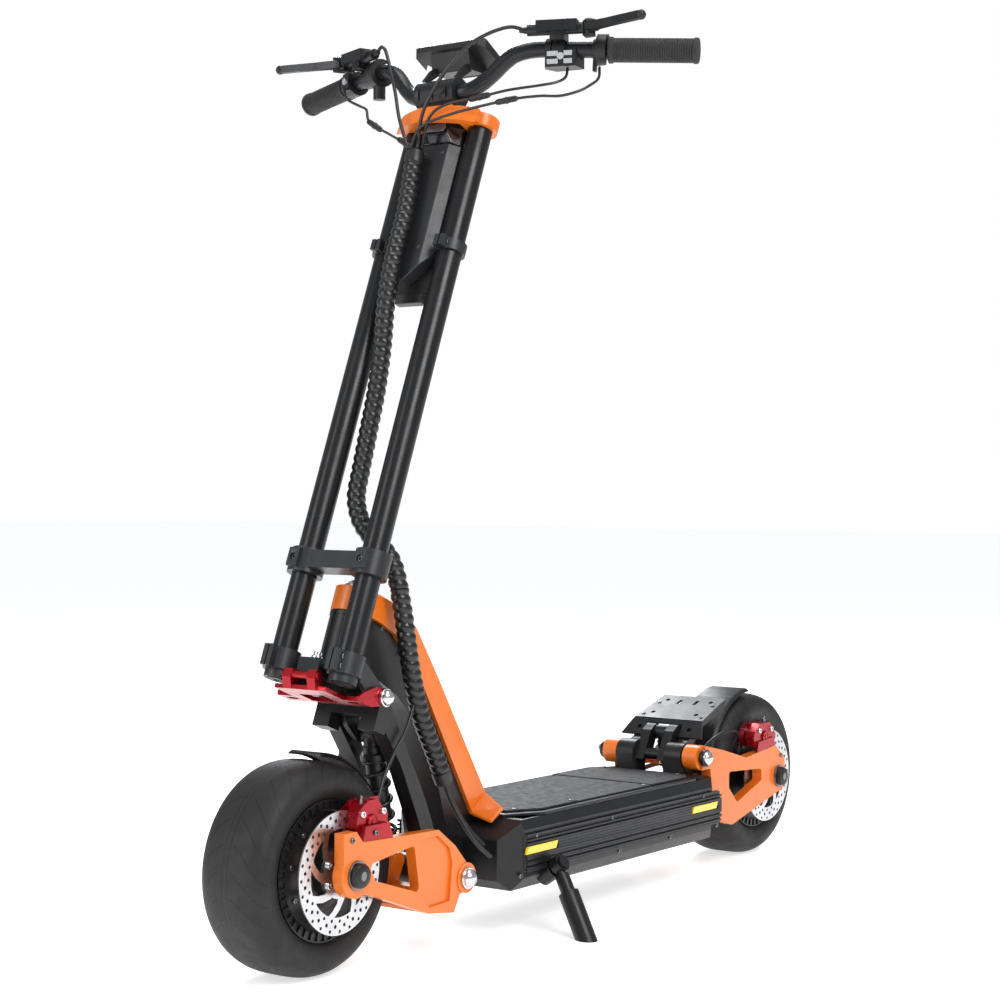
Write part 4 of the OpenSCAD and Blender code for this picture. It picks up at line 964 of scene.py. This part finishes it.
def make_deck_fittings():
    for x, y in ((0.186, 0.070), (0.066, 0.088), (-0.142, 0.088), (-0.272, 0.072), (0.186, -0.070), (0.066, -0.088), (-0.142, -0.088),
                 (-0.272, -0.072)):
        z = 0.173 if -0.150 < x < 0.057 else 0.174
        bolt("chassis", (x, y, z - 0.0002), (0, 0, 1), 0.0042, 0.0016)
    for s in (-1, 1):
        for x in (0.232, 0.120, -0.030, -0.180, -0.328):
            bolt("chassis", (x, s * 0.1118, 0.0885), (0, s, 0), 0.0034, 0.0024)
        for x in (-0.275, 0.0, 0.200):
            bolt("chassis", (x, s * 0.1178, 0.1425), (0, s, 0), 0.0026, 0.0012)
        for x, z in ((0.445, 0.446), (0.395, 0.444 - 0.035)):
            bolt("chassis", (x, s * 0.0308, z), (0, s, 0), 0.0032, 0.0016)
    slope = math.atan2(30, 89)
    for x, y in ((-0.060, 0.052), (-0.060, -0.052), (-0.012, 0.056), (-0.012, -0.056)):
        place = Vector((-0.361 + x * math.cos(slope), y, 0.249 - x * math.sin(slope) + 0.0042))
        bolt("chassis", place, (math.sin(slope), 0, math.cos(slope)), 0.0032, 0.0016)
    for s in (-1, 1):
        bolt("chassis", (-0.316, s * 0.0617, 0.176), (0, s, 0), 0.0036, 0.003)
        bolt("front_arm", (0.589, s * 0.0998, 0.186), (0, s, 0), 0.0036, 0.003)
        bolt("front_arm", (0.541, s * 0.0988, 0.190), (0, s, 0), 0.0036, 0.003)
        bolt("rear_arm", (-0.585, s * 0.0938, 0.176), (0, s, 0), 0.0036, 0.003)


# ---------- everything else ----------

SOFT = [
    ("deck_tray", "dark_anodised", 0.0012, 2), ("deck_plate", "dark_anodised", 0.0012, 2),
    ("side_rails", "rail_ribs", 0.0005, 1), ("side_reflectors", "yellow_reflector", 0.0008, 2),
    ("foot_mat", "mat_rubber", 0.0010, 2),
    ("rear_frame", "black_metal", 0.0010, 2), ("neck_core", "black_metal", 0.0040, 3), ("neck_sides", "orange_paint", 0.0016, 3),
    ("kick_plate", "black_metal", 0.0010, 2), ("kickstand_bracket", "black_metal", 0.0010, 2),
    ("fork_crown", "dark_anodised", 0.0014, 2), ("fork_arch", "black_metal", 0.0050, 4), ("fork_pins", "silver", 0.0016, 3),
    ("latch_lever", "red_anodised", 0.0008, 2), ("safety_pin", "silver", 0.0010, 2), ("stem_clamps", "grey_anodised", 0.0014, 2),
    ("stem_tubes", "tube_satin", 0.0010, 2), ("stem_crown", "orange_paint", 0.0028, 3), ("control_box", "black_plastic", 0.0014, 2),
    ("box_cover", "grey_anodised", 0.0018, 2), ("headlight", "glossy_black", 0.0016, 3), ("bar_clamp", "dark_anodised", 0.0016, 2),
    ("brake_masters", "dark_anodised", 0.0010, 2), ("switch_pods", "black_plastic", 0.0014, 2),
    ("thumb_housings", "black_plastic", 0.0014, 2), ("throttle_paddle", "black_plastic", 0.0010, 2),
    ("horn_button", "button_grey", 0.0008, 2), ("mode_button", "button_grey", 0.0008, 2),
    ("front_swingarm", "orange_paint", 0.0018, 3), ("front_caliper", "red_anodised", 0.0014, 2),
    ("front_mudguard", "black_plastic", 0.0006, 1), ("front_shock", "dark_anodised", 0.0008, 2),
    ("front_shock_rod", "red_anodised", 0.0008, 2), ("rear_swingarm", "orange_paint", 0.0018, 3),
    ("rear_caliper", "red_anodised", 0.0014, 2), ("rear_mudguard", "black_plastic", 0.0006, 1),
    ("rear_shock", "dark_anodised", 0.0008, 2), ("rear_shock_rod", "red_anodised", 0.0008, 2),
    ("kickstand", "black_metal", 0.0014, 2),
]
KEPT = [("battery_pack", "battery_film"), ("motor_controllers", "silver"), ("headset_bearings", "silver"), ("steerer", "silver")]


def make_all():
    make_stage()
    make_cables()
    for node, material, width, segments in SOFT:
        soften(node, material, width, segments)
    for node, material in KEPT:
        carry(node, material)
    for side, x0, out, eyes, z0, z1 in (("front", AXLE_X, 0.100, FRONT_EYES, 34, 146), ("rear", -AXLE_X, 0.094, REAR_EYES, 34, 112)):
        make_wheel(side, x0)
        make_spring(side, eyes, z0, z1)
        make_axle_ends(side, x0, out)
    make_handlebar()
    make_grips()
    make_display()
    make_levers()
    make_caliper_parts("front", 0.537, 0.2065)
    make_caliper_parts("rear", -0.534, 0.2165)
    make_domes()
    make_stem_fittings()
    make_bar_fittings()
    make_deck_fittings()
    make_bolts()


make_all()
